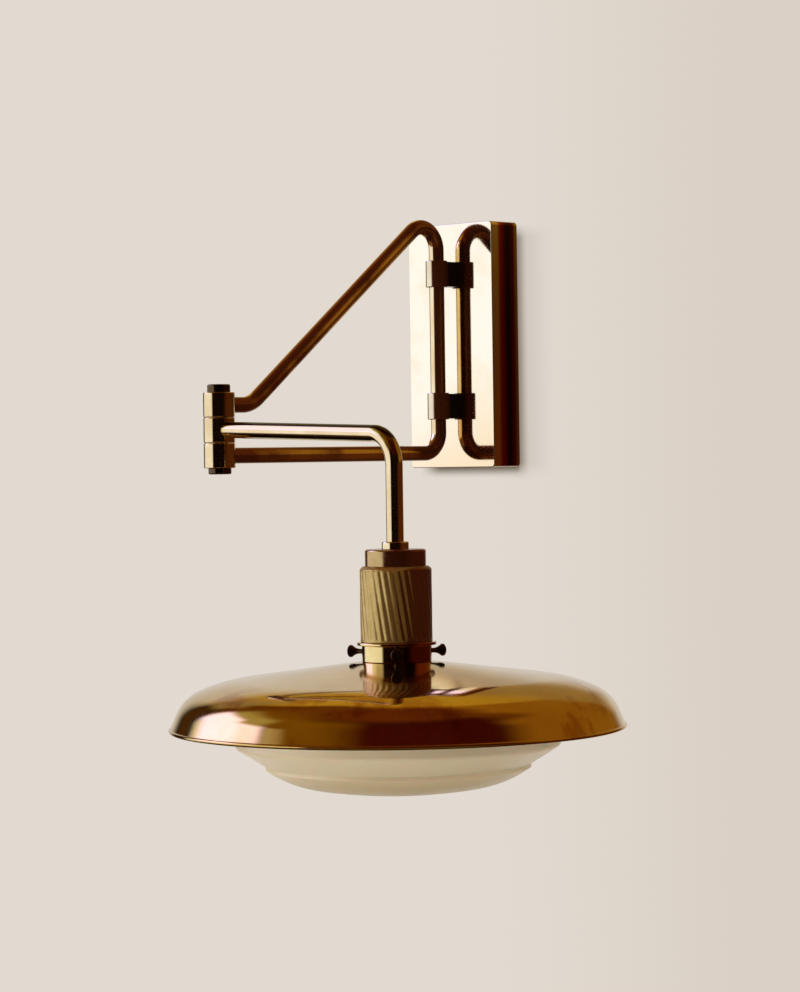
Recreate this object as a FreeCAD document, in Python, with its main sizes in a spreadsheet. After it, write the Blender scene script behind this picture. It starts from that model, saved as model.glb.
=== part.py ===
import FreeCAD, Part
import math
import os

import Sketcher

# Driving dimensions, in millimetres and degrees
SIZES = {
    # Fits shared by all pieces
    "running_clearance": 0.05,
    "fixed_clearance": 0.02,
    "seat_gap": 0.2,
    # Shares of a screw's own sizes
    "screw_slot_width_share": 0.28,
    "screw_slot_depth_share": 0.4,
    "screw_bevel_share": 0.35,
    "screw_tip_share": 0.3,
    # Wall box
    "cover_width": 75.0,
    "cover_height": 161.0,
    "cover_depth": 25.0,
    "cover_wall": 1.2,
    "cover_corner": 2.5,
    "cover_edge": 1.0,
    "plate_width": 66.0,
    "plate_thick": 2.0,
    "plate_clearance": 0.3,
    "tab_width": 18.0,
    "tab_depth": 14.0,
    "tab_thick": 2.0,
    "cover_screw_inset": 10.0,
    "cover_screw_radius": 2.0,
    "cover_screw_point": 1.5,
    "cover_screw_head_radius": 3.2,
    "cover_screw_land_height": 0.2,
    "wall_slot_pitch": 110.0,
    "wall_slot_width": 5.5,
    "wall_slot_length": 10.0,
    "cable_hole_height": 24.0,
    "grommet_neck_radius": 7.0,
    "grommet_bore_radius": 4.2,
    "grommet_flange_radius": 9.5,
    "grommet_flange_thick": 2.5,
    # Terminal block and earth screw
    "block_width": 32.0,
    "block_height": 18.0,
    "block_depth": 14.0,
    "block_centre_height": -6.0,
    "pole_pitch": 9.6,
    "pole_radius": 2.6,
    "pole_bore_radius": 1.6,
    "pole_depth": 6.5,
    "pole_end_margin": 1.5,
    "pole_screw_radius": 1.5,
    "pole_screw_spread": 4.4,
    "pole_screw_recess": 1.5,
    "earth_screw_across": 22.0,
    "earth_screw_height": -6.0,
    "earth_screw_radius": 2.0,
    "earth_head_radius": 3.8,
    "earth_head_height": 2.6,
    # Pivot brackets on the cover
    "arm_standoff": 12.8,
    "upper_bracket_height": 47.0,
    "lower_bracket_height": -40.0,
    "sleeve_radius": 7.2,
    "sleeve_height": 17.6,
    "sleeve_edge": 0.6,
    "neck_width": 11.0,
    "neck_height": 16.4,
    "stud_radius": 5.0,
    "stud_margin": 1.0,
    "stud_washer_radius": 10.0,
    "stud_washer_thick": 1.5,
    "stud_nut_flats": 16.0,
    "stud_nut_thick": 6.0,
    "grub_offset": 5.8,
    "grub_radius": 1.5,
    "grub_tip_radius": 1.0,
    "grub_tip_length": 0.9,
    "grub_recess": 0.4,
    "grub_socket_radius": 0.75,
    "grub_socket_depth": 0.7,
    "groove_depth": 0.5,
    "groove_width": 2.6,
    # Leads inside the tubes
    "lead_radius": 3.0,
    "lead_hole_radius": 3.4,
    "wall_lead_depth": 8.0,
    "lead_bend_radius": 3.6,
    # Tubes and elbow hinge
    "tube_radius": 5.0,
    "tube_bore_radius": 3.5,
    "arm_reach": 196.0,
    "elbow_height": -55.3,
    "stub_length": 26.3,
    "diagonal_peak": 92.1,
    "stub_bend": 22.0,
    "peak_bend": 14.4,
    "foot_bend": 14.0,
    "knuckle_radius": 9.8,
    "knuckle_height": 15.2,
    "knuckle_pitch": 15.6,
    "knuckle_edge": 0.5,
    "socket_seat": 6.5,
    "pivot_radius": 5.0,
    "pivot_bore_radius": 3.5,
    "pivot_reach": 4.2,
    "pivot_head_radius": 7.1,
    "pivot_head_edge": 0.6,
    "top_head_height": 5.0,
    "bottom_head_height": 3.8,
    "hinge_washer_radius": 9.3,
    "hinge_washer_thick": 0.3,
    # Forearm and stem
    "forearm_reach": 169.0,
    "forearm_angle": 6.7,
    "forearm_level_length": 12.0,
    "forearm_fall": 4.8,
    "forearm_set_radius": 60.0,
    "forearm_bend": 18.0,
    "stem_length": 66.1,
    "stem_tail_length": 9.6,
    # Lampholder
    "collar_radius": 7.8,
    "collar_height": 4.3,
    "collar_edge": 0.8,
    "cap_radius": 17.5,
    "cap_height": 9.7,
    "cap_wall": 1.5,
    "cap_top": 2.0,
    "cap_edge": 1.2,
    "stem_nut_flats": 14.0,
    "stem_nut_thick": 3.0,
    "shell_radius": 20.5,
    "shell_height": 43.0,
    "shell_wall": 1.5,
    "shell_edge": 1.6,
    "shoulder_thick": 1.8,
    "shoulder_hole_radius": 13.0,
    "core_gap": 0.3,
    "core_spigot_gap": 0.4,
    "core_lead_radius": 3.6,
    "socket_radius": 14.6,
    "socket_depth": 24.5,
    "screw_shell_wall": 0.7,
    "contact_radius": 6.0,
    "contact_thick": 1.2,
    "holder_screw_circle": 9.0,
    "holder_screw_radius": 1.5,
    "holder_screw_head_radius": 2.8,
    "holder_screw_head_height": 2.0,
    "holder_screw_length": 6.0,
    # Gallery ring and thumbscrews
    "flange_radius": 22.75,
    "flange_thick": 1.8,
    "flange_edge": 0.5,
    "ring_radius": 19.9,
    "ring_wall": 1.5,
    "ring_height": 9.2,
    "spigot_height": 4.0,
    "thumb_depth": 4.2,
    "thumb_first_angle": -45.8,
    "thumb_radius": 1.4,
    "thumb_tip_bevel": 0.5,
    "thumb_neck_length": 4.6,
    "thumb_head_length": 6.6,
    "thumb_head_radius": 3.5,
    "thumb_rim": 1.2,
    # Shade
    "shade_wall": 1.0,
    "neck_clearance": 0.4,
    "neck_top_gap": 1.0,
    "crown_radius": 90.4,
    "crown_slope": 7.55,
    "shoulder_slope": 23.8,
    "skirt_slope": 66.8,
    "upper_shoulder_curve_radius": 85.3,
    "lower_shoulder_curve_radius": 24.0,
    "skirt_width": 3.3,
    "rim_bead": 1.2,
    # Glass bowl and its clips
    "glass_wall": 3.0,
    "glass_depth": 36.8,
    "glass_floor_curve_radius": 300.0,
    "glass_floor_radius": 50.6,
    "glass_round_curve_radius": 60.5,
    "glass_round_width": 25.1,
    "glass_step_height": 2.2,
    "glass_step_width": 1.2,
    "glass_step_rise": 0.6,
    "glass_cone_slope": 31.8,
    "glass_cone_width": 16.1,
    "glass_flange_width": 5.0,
    "clip_width": 9.0,
    "clip_thick": 1.2,
    "clip_lap_length": 3.5,
    # Bulb
    "bulb_radius": 22.5,
    "bulb_length": 88.0,
    "bulb_wall": 0.9,
    "bulb_neck_radius": 12.4,
    "bulb_cap_radius": 13.1,
    "bulb_cap_length": 24.0,
    "bulb_cap_wall": 0.6,
    "bulb_cap_shoulder_radius": 9.2,
    "bulb_cap_shoulder_height": 6.0,
    "bulb_neck_lap_length": 7.2,
    "bulb_button_radius": 5.0,
    "bulb_button_bevel": 2.0,
    "bulb_button_height": 2.0,
}

CLIP_COUNT = 3
THUMB_COUNT = 3
POLE_COUNT = 3
NUT_SIDES = 6

doc = FreeCAD.newDocument("articulated_wall_lamp")
sheet = doc.addObject("Spreadsheet::Sheet", "Sizes")
for row, (alias, number) in enumerate(SIZES.items(), start=1):
    sheet.set(f"A{row}", alias)
    sheet.set(f"B{row}", str(number))
    sheet.setAlias(f"B{row}", alias)
doc.recompute()


class Size:
    """A number that also carries the sheet formula it comes from."""

    def __init__(self, value, formula):
        self.value = float(value)
        self.formula = formula

    def __add__(self, other):
        other = as_size(other)
        return Size(self.value + other.value, f"({self.formula} + {other.formula})")

    def __sub__(self, other):
        other = as_size(other)
        return Size(self.value - other.value, f"({self.formula} - {other.formula})")

    def __mul__(self, other):
        other = as_size(other)
        return Size(self.value * other.value, f"({self.formula} * {other.formula})")

    def __truediv__(self, other):
        other = as_size(other)
        return Size(self.value / other.value, f"({self.formula} / {other.formula})")

    def __neg__(self):
        return Size(-self.value, f"(0 - {self.formula})")

    def __radd__(self, other):
        return as_size(other) + self

    def __rsub__(self, other):
        return as_size(other) - self

    def __rmul__(self, other):
        return as_size(other) * self


def as_size(item):
    """Return a Size for a Size or a plain number."""
    if isinstance(item, Size):
        return item
    return Size(item, f"({float(item)!r})")


def size(alias):
    """Return the driving dimension of that name."""
    return Size(SIZES[alias], f"Sizes.{alias}")


def sine(angle):
    return Size(math.sin(math.radians(angle.value)), f"sin({angle.formula} * 1 deg)")


def cosine(angle):
    return Size(math.cos(math.radians(angle.value)), f"cos({angle.formula} * 1 deg)")


def tangent(angle):
    return sine(angle) / cosine(angle)


def root(item):
    return Size(math.sqrt(item.value), f"sqrt({item.formula})")


def bind(thing, prop, item):
    """Tie a property of a document object to the sheet."""
    thing.setExpression(prop, as_size(item).formula)


ZERO = as_size(0.0)


# Document helpers

def new_body(label):
    return doc.addObject("PartDesign::Body", label)


def place(thing, across=ZERO, along=ZERO, up=ZERO, turn=None, axis=(0, 0, 1)):
    """Put an object at a point, turned about one axis through its own origin."""
    if turn is not None:
        angle = as_size(turn)
        thing.Placement = FreeCAD.Placement(
            FreeCAD.Vector(), FreeCAD.Rotation(FreeCAD.Vector(*axis), angle.value or 360.0)
        )
        thing.setExpression("Placement.Rotation.Angle", f"{angle.formula} * 1 deg")
    bind(thing, "Placement.Base.x", across)
    bind(thing, "Placement.Base.y", along)
    bind(thing, "Placement.Base.z", up)
    return thing


def new_sketch(body, role, name, offset=None):
    """Start a sketch on one of the body's own origin planes."""
    sketch = body.newObject("Sketcher::SketchObject", name)
    plane = next(item for item in body.Origin.OriginFeatures if item.Role == role)
    sketch.AttachmentSupport = [(plane, "")]
    sketch.MapMode = "FlatFace"
    if offset is not None:
        bind(sketch, "AttachmentOffset.Base.z", offset)
    return sketch


def pin_point(sketch, geometry, end, point):
    """Fix one end of a sketch line or arc at a point given by two sizes."""
    for kind, item in (("DistanceX", as_size(point[0])), ("DistanceY", as_size(point[1]))):
        index = sketch.addConstraint(Sketcher.Constraint(kind, -1, 1, geometry, end, item.value))
        bind(sketch, f"Constraints[{index}]", item)


def arc_centre(start, end, radius, side):
    """Return the centre of an arc between two points; side 1 lies left of the way."""
    middle = (start + end) * 0.5
    chord = end - start
    rise = math.sqrt(max(radius * radius - chord.Length * chord.Length / 4.0, 0.0))
    left = FreeCAD.Vector(-chord.y, chord.x, 0)
    left.normalize()
    return middle + left * (rise * side)


def add_outline(sketch, points, arcs=None, closed=True):
    """Draw a chain of lines and arcs through points; arcs maps an edge to (radius, side)."""
    arcs = arcs or {}
    vectors = [FreeCAD.Vector(as_size(x).value, as_size(y).value, 0) for x, y in points]
    edges = len(points) if closed else len(points) - 1
    ends = []
    for edge in range(edges):
        start = vectors[edge]
        finish = vectors[(edge + 1) % len(points)]
        if edge not in arcs:
            geometry = sketch.addGeometry(Part.LineSegment(start, finish), False)
            ends.append((geometry, 1, 2))
            continue
        radius, side = arcs[edge]
        centre = arc_centre(start, finish, radius.value, side)
        first, last = (start, finish) if side > 0 else (finish, start)
        circle = Part.Circle(centre, FreeCAD.Vector(0, 0, 1), radius.value)
        angles = [math.atan2(spot.y - centre.y, spot.x - centre.x) for spot in (first, last)]
        geometry = sketch.addGeometry(Part.ArcOfCircle(circle, angles[0], angles[1]), False)
        ends.append((geometry, 1, 2) if side > 0 else (geometry, 2, 1))
        chord = finish - start
        if chord.Length < radius.value * 1.999:
            index = sketch.addConstraint(Sketcher.Constraint("Radius", geometry, radius.value))
            bind(sketch, f"Constraints[{index}]", radius)
            continue
        # A half round is settled by the line its centre lies on
        level = 1 if abs(chord.x) > abs(chord.y) else 0
        kind = ("DistanceX", "DistanceY")[level]
        item = as_size(points[edge][level])
        index = sketch.addConstraint(Sketcher.Constraint(kind, -1, 1, geometry, 3, item.value))
        bind(sketch, f"Constraints[{index}]", item)
    for edge, (geometry, begin, end) in enumerate(ends):
        pin_point(sketch, geometry, begin, points[edge])
        follower = (edge + 1) % len(ends)
        if closed or edge + 1 < len(ends):
            after = ends[follower]
            sketch.addConstraint(Sketcher.Constraint("Coincident", geometry, end, after[0], after[1]))
        else:
            pin_point(sketch, geometry, end, points[edge + 1])
    return sketch


def add_circle(sketch, centre, radius):
    """Draw a circle about a point given by two sizes."""
    spot = FreeCAD.Vector(as_size(centre[0]).value, as_size(centre[1]).value, 0)
    geometry = sketch.addGeometry(Part.Circle(spot, FreeCAD.Vector(0, 0, 1), radius.value), False)
    pin_point(sketch, geometry, 3, centre)
    index = sketch.addConstraint(Sketcher.Constraint("Radius", geometry, radius.value))
    bind(sketch, f"Constraints[{index}]", radius)


def rectangle(left, low, right, high):
    """Return the corners of an upright rectangle, counter-clockwise."""
    return [(left, low), (right, low), (right, high), (left, high)]


def rounded_rectangle(width, height, radius):
    """Return points and arcs of a centred rectangle with round corners."""
    half_w = width / 2
    half_h = height / 2
    points = [
        (radius - half_w, -half_h), (half_w - radius, -half_h),
        (half_w, radius - half_h), (half_w, half_h - radius),
        (half_w - radius, half_h), (radius - half_w, half_h),
        (-half_w, half_h - radius), (-half_w, radius - half_h),
    ]
    return points, {edge: (radius, 1) for edge in (1, 3, 5, 7)}


def slot(centre_height, width, length):
    """Return points and arcs of an upright slot on the centre line."""
    radius = width / 2
    half = length / 2 - radius
    points = [
        (radius, centre_height - half), (radius, centre_height + half),
        (-radius, centre_height + half), (-radius, centre_height - half),
    ]
    return points, {1: (radius, 1), 3: (radius, 1)}


def pad(body, sketch, name, length, both_ways=False, backwards=False):
    feature = body.newObject("PartDesign::Pad", name)
    feature.Profile = sketch
    feature.Midplane = both_ways
    feature.Reversed = backwards
    bind(feature, "Length", length)
    return feature


def cut_through(body, sketch, name):
    """Cut a sketch through the whole body, both ways."""
    feature = body.newObject("PartDesign::Pocket", name)
    feature.Profile = sketch
    feature.Type = "ThroughAll"
    feature.Midplane = True
    return feature


def turned(label, points, arcs=None, axis="V_Axis"):
    """Make a body of revolution from a half section in its XZ plane."""
    body = new_body(label)
    sketch = add_outline(new_sketch(body, "XZ_Plane", f"{label}_section"), points, arcs)
    feature = body.newObject("PartDesign::Revolution", f"{label}_turning")
    feature.Profile = sketch
    feature.ReferenceAxis = (sketch, [axis])
    feature.Angle = 360.0
    return body


def rod(name, radius, length, across, along, up, direction="Z"):
    """Make a plain cylinder that starts at a point and runs along X, Y or Z."""
    cylinder = doc.addObject("Part::Cylinder", name)
    bind(cylinder, "Radius", radius)
    bind(cylinder, "Height", length)
    turns = {"X": ((0, 1, 0), 90), "Y": ((1, 0, 0), -90), "Z": ((0, 0, 1), 0)}
    axis, angle = turns[direction]
    cylinder.Placement.Rotation = FreeCAD.Rotation(FreeCAD.Vector(*axis), angle)
    return place(cylinder, across, along, up)


def block(name, low, spans):
    """Make a plain box from its low corner and its three spans."""
    box = doc.addObject("Part::Box", name)
    for prop, item in zip(("Length", "Width", "Height"), spans):
        bind(box, prop, item)
    return place(box, *low)


def without(label, base, tools):
    """Take tools away from a base piece."""
    tool = tools[0]
    if len(tools) > 1:
        tool = doc.addObject("Part::MultiFuse", f"{label}_tools")
        tool.Shapes = tools
    result = doc.addObject("Part::Cut", label)
    result.Base = base
    result.Tool = tool
    return result


def together(label, pieces):
    """Keep separate solids as one named group."""
    group = doc.addObject("Part::Compound", label)
    group.Links = pieces
    return group


def rounded_corners(points, radii):
    """Return points and arcs of an open path whose inner corners are bends."""
    path = [points[0]]
    arcs = {}
    for index, radius in enumerate(radii, start=1):
        corner = points[index]
        rays = []
        for other in (points[index - 1], points[index + 1]):
            ray_x = as_size(other[0]) - corner[0]
            ray_y = as_size(other[1]) - corner[1]
            reach = root(ray_x * ray_x + ray_y * ray_y)
            rays.append((ray_x / reach, ray_y / reach))
        back, onward = rays
        turn = back[0] * onward[0] + back[1] * onward[1]
        setback = radius * root((1 + turn) / (1 - turn))
        left_turn = back[0].value * onward[1].value - back[1].value * onward[0].value < 0
        path.append((corner[0] + back[0] * setback, corner[1] + back[1] * setback))
        arcs[len(path) - 1] = (radius, 1 if left_turn else -1)
        path.append((corner[0] + onward[0] * setback, corner[1] + onward[1] * setback))
    path.append(points[-1])
    return path, arcs


def bent_tube(label, role, points, radii, section, outer, bore=None):
    """Sweep a round tube or rod along a bent path; section gives its plane, offset and centre."""
    body = new_body(label)
    path, arcs = rounded_corners(points, radii)
    spine = add_outline(new_sketch(body, role, f"{label}_path"), path, arcs, closed=False)
    section_role, offset, centre = section
    ring = new_sketch(body, section_role, f"{label}_ring", offset)
    add_circle(ring, centre, outer)
    if bore is not None:
        add_circle(ring, centre, bore)
    doc.recompute()
    pipe = body.newObject("PartDesign::AdditivePipe", f"{label}_sweep")
    pipe.Profile = ring
    pipe.Spine = spine
    return body


def hexagon(flats):
    """Return the corners of a centred hexagon of that width across its flats."""
    corner = flats / 2 / cosine(as_size(180 / NUT_SIDES))
    spots = []
    for side in range(NUT_SIDES):
        angle = as_size(360 * side / NUT_SIDES)
        spots.append((corner * cosine(angle), corner * sine(angle)))
    return spots


def screw(label, shank_radius, shank_length, head_radius, head_height):
    """Make a slotted round-head screw: head above the XY plane, shank below it."""
    tip = shank_radius * size("screw_tip_share")
    bevel = head_height * size("screw_bevel_share")
    plain = turned(f"{label}_blank", [
        (ZERO, -shank_length), (shank_radius - tip, -shank_length), (shank_radius, tip - shank_length),
        (shank_radius, ZERO), (head_radius, ZERO), (head_radius, head_height - bevel),
        (head_radius - bevel, head_height), (ZERO, head_height),
    ])
    depth = head_height * size("screw_slot_depth_share")
    width = head_radius * size("screw_slot_width_share")
    cutter = block(f"{label}_slot", (-head_radius, -width / 2, head_height - depth),
                   (head_radius * 2, width, depth * 2))
    return without(label, plain, [cutter])


def flush_screw(label, shank_radius, shank_length, head_radius, head_depth, land):
    """Make a slotted countersunk screw: a thin land above the XY plane, the rest below it."""
    tip = shank_radius * size("screw_tip_share")
    plain = turned(f"{label}_blank", [
        (ZERO, -shank_length), (shank_radius - tip, -shank_length), (shank_radius, tip - shank_length),
        (shank_radius, -head_depth), (head_radius, ZERO), (head_radius, land), (ZERO, land),
    ])
    depth = head_depth * size("screw_slot_depth_share")
    width = head_radius * size("screw_slot_width_share")
    cutter = block(f"{label}_slot", (-head_radius, -width / 2, land - depth),
                   (head_radius * 2, width, depth * 2))
    return without(label, plain, [cutter])


nodes = []


def keep(piece, label):
    """Register a finished sub-part under its own name."""
    piece.Label = label
    nodes.append(piece)
    return piece


# Places shared by several pieces
arm_line = -(size("cover_depth") + size("arm_standoff"))
elbow_line = arm_line - size("arm_reach")
forearm_turn = -size("forearm_angle")
stem_across = size("forearm_reach") * cosine(size("forearm_angle"))
stem_along = elbow_line - size("forearm_reach") * sine(size("forearm_angle"))
stub_height = size("elbow_height") + size("knuckle_pitch")
foot_height = size("elbow_height") - size("knuckle_pitch")
bracket_heights = {"upper": size("upper_bracket_height"), "lower": size("lower_bracket_height")}
cover_inside = size("cover_wall") - size("cover_depth")
plate_front = -size("plate_thick")

collar_top = size("elbow_height") - size("stem_length")
cap_top = collar_top - size("collar_height")
shell_top = cap_top - size("cap_height")
flange_top = shell_top - size("shell_height")
ring_top = flange_top - size("flange_thick")
ring_foot = ring_top - size("ring_height")
core_top = shell_top - size("shoulder_thick")
core_foot = flange_top + size("spigot_height") + size("core_spigot_gap")
socket_floor = core_foot + size("socket_depth")
contact_face = socket_floor - size("contact_thick")


def on_stem(piece):
    """Put a turned piece on the stem's axis."""
    return place(piece, stem_across, stem_along)


# Wall plate with its folded tabs
plate_height = size("cover_height") - (size("cover_wall") + size("plate_clearance")) * 2
wall_plate = new_body("wall_plate_body")
plate_sketch = new_sketch(wall_plate, "XZ_Plane", "plate_outline")
half_plate = size("plate_width") / 2
add_outline(plate_sketch, rectangle(-half_plate, -plate_height / 2, half_plate, plate_height / 2))
for sign in (-1, 1):
    add_outline(plate_sketch, *slot(size("wall_slot_pitch") / 2 * sign, size("wall_slot_width"),
                                    size("wall_slot_length")))
add_circle(plate_sketch, (ZERO, size("cable_hole_height")),
           size("grommet_neck_radius") + size("fixed_clearance"))
add_circle(plate_sketch, (size("earth_screw_across"), size("earth_screw_height")),
           size("earth_screw_radius") + size("fixed_clearance"))
pad(wall_plate, plate_sketch, "plate_sheet", size("plate_thick"))
tab_sketch = new_sketch(wall_plate, "XZ_Plane", "tab_outline")
half_tab = size("tab_width") / 2
tab_inner = plate_height / 2 - size("tab_thick")
add_outline(tab_sketch, rectangle(-half_tab, tab_inner, half_tab, plate_height / 2))
add_outline(tab_sketch, rectangle(-half_tab, -plate_height / 2, half_tab, -tab_inner))
pad(wall_plate, tab_sketch, "tabs", size("plate_thick") + size("tab_depth"))
tab_holes = new_sketch(wall_plate, "XY_Plane", "tab_holes")
add_circle(tab_holes, (ZERO, -size("cover_screw_inset")),
           size("cover_screw_radius") + size("fixed_clearance"))
cut_through(wall_plate, tab_holes, "tab_drilling")
keep(place(wall_plate), "wall_plate")

# Polished cover over the plate
cover_outer = new_body("wall_cover_outer")
outer_sketch = new_sketch(cover_outer, "XZ_Plane", "cover_outline")
add_outline(outer_sketch, *rounded_rectangle(size("cover_width"), size("cover_height"),
                                             size("cover_corner")))
cover_pad = pad(cover_outer, outer_sketch, "cover_block", size("cover_depth"))
doc.recompute()
front = -SIZES["cover_depth"]
front_edges = [
    f"Edge{number}" for number, edge in enumerate(cover_pad.Shape.Edges, start=1)
    if all(abs(vertex.Point.y - front) < 1e-6 for vertex in edge.Vertexes)
]
cover_round = cover_outer.newObject("PartDesign::Fillet", "cover_front_edges")
cover_round.Base = (cover_pad, front_edges)
bind(cover_round, "Radius", size("cover_edge"))
cover_hollow = new_body("wall_cover_hollow")
hollow_sketch = new_sketch(cover_hollow, "XZ_Plane", "hollow_outline")
add_outline(hollow_sketch, *rounded_rectangle(
    size("cover_width") - size("cover_wall") * 2, size("cover_height") - size("cover_wall") * 2,
    size("cover_corner") - size("cover_wall")))
pad(cover_hollow, hollow_sketch, "hollow_block", size("cover_depth") - size("cover_wall"))
cover_tools = [cover_hollow]
for side, height in bracket_heights.items():
    cover_tools.append(rod(f"{side}_stud_hole", size("stud_radius") + size("fixed_clearance"),
                           size("cover_wall") * 3, ZERO, -size("cover_depth") - size("cover_wall"),
                           height, "Y"))
cover_tools.append(rod("cover_screw_holes", size("cover_screw_radius") + size("fixed_clearance"),
                       size("cover_height") * 2, ZERO, -size("cover_screw_inset"),
                       -size("cover_height")))
cover_ends = ((1, 0), (-1, 180))
for sign, turn in cover_ends:
    sink = turned(f"cover_screw_sink_{turn}", [
        (ZERO, -size("cover_wall")),
        (size("cover_screw_radius") + size("fixed_clearance"), -size("cover_wall")),
        (size("cover_screw_head_radius") + size("fixed_clearance"), ZERO),
        (size("cover_screw_head_radius") + size("fixed_clearance"), size("cover_wall")),
        (ZERO, size("cover_wall")),
    ])
    cover_tools.append(place(sink, ZERO, -size("cover_screw_inset"),
                             size("cover_height") / 2 * sign, turn, (1, 0, 0)))
keep(without("wall_cover_cut", cover_outer, cover_tools), "wall_cover")

# Countersunk screws through the cover's top and foot into the tabs
cover_screws = []
for sign, turn in cover_ends:
    piece = flush_screw(f"cover_screw_{turn}", size("cover_screw_radius"),
                        size("cover_wall") + size("plate_clearance") + size("tab_thick")
                        + size("cover_screw_point"),
                        size("cover_screw_head_radius"), size("cover_wall"),
                        size("cover_screw_land_height"))
    place(piece, ZERO, -size("cover_screw_inset"), size("cover_height") / 2 * sign, turn, (1, 0, 0))
    cover_screws.append(piece)
keep(together("cover_screws_pair", cover_screws), "cover_screws")

# Rubber grommet in the cable hole
grommet = turned("cable_grommet_body", [
    (size("grommet_bore_radius"), ZERO), (size("grommet_neck_radius"), ZERO),
    (size("grommet_neck_radius"), size("plate_thick")),
    (size("grommet_flange_radius"), size("plate_thick")),
    (size("grommet_flange_radius"), size("plate_thick") + size("grommet_flange_thick")),
    (size("grommet_bore_radius"), size("plate_thick") + size("grommet_flange_thick")),
])
keep(place(grommet, ZERO, ZERO, size("cable_hole_height"), 90, (1, 0, 0)), "cable_grommet")

# Terminal block, its brass barrels and clamp screws
block_low = size("block_centre_height") - size("block_height") / 2
block_front = plate_front - size("block_depth")
pole_line = plate_front - size("pole_depth")
block_body = block("terminal_block_body", (-size("block_width") / 2, block_front, block_low),
                   (size("block_width"), size("block_depth"), size("block_height")))
block_tools = []
barrels = []
clamp_screws = []
barrel_length = size("block_height") - size("pole_end_margin") * 2
screw_seat = block_front + size("pole_screw_recess")
for pole in range(POLE_COUNT):
    across = size("pole_pitch") * (pole - (POLE_COUNT - 1) / 2)
    block_tools.append(rod(f"pole_hole_{pole}", size("pole_radius") + size("fixed_clearance"),
                           size("block_height") * 2, across, pole_line,
                           block_low - size("block_height") / 2))
    barrel_tools = [rod(f"barrel_bore_{pole}", size("pole_bore_radius"), size("block_height") * 2,
                        across, pole_line, block_low - size("block_height") / 2)]
    for sign in (-1, 1):
        height = size("block_centre_height") + size("pole_screw_spread") * sign
        hole_radius = size("pole_screw_radius") + size("fixed_clearance")
        block_tools.append(rod(f"clamp_hole_{pole}_{sign}", hole_radius, size("pole_depth") * 2,
                               across, block_front - size("pole_screw_recess"), height, "Y"))
        barrel_tools.append(rod(f"barrel_hole_{pole}_{sign}", hole_radius, size("pole_radius") * 2,
                                across, pole_line - size("pole_radius") * 2, height, "Y"))
        clamp_screws.append(rod(f"clamp_screw_{pole}_{sign}", size("pole_screw_radius"),
                                pole_line - size("pole_bore_radius") - screw_seat,
                                across, screw_seat, height, "Y"))
    barrel = rod(f"barrel_rod_{pole}", size("pole_radius"), barrel_length, across, pole_line,
                 block_low + size("pole_end_margin"))
    barrels.append(without(f"barrel_{pole}", barrel, barrel_tools))
keep(without("terminal_block_cut", block_body, block_tools), "terminal_block")
keep(together("barrel_group", barrels), "terminal_barrels")
keep(together("clamp_screw_group", clamp_screws), "terminal_screws")

# Earth screw on the plate
earth = screw("earth_screw_body", size("earth_screw_radius"), size("plate_thick"),
              size("earth_head_radius"), size("earth_head_height"))
keep(place(earth, size("earth_screw_across"), plate_front, size("earth_screw_height"), 90, (1, 0, 0)),
     "earth_screw")

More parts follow.
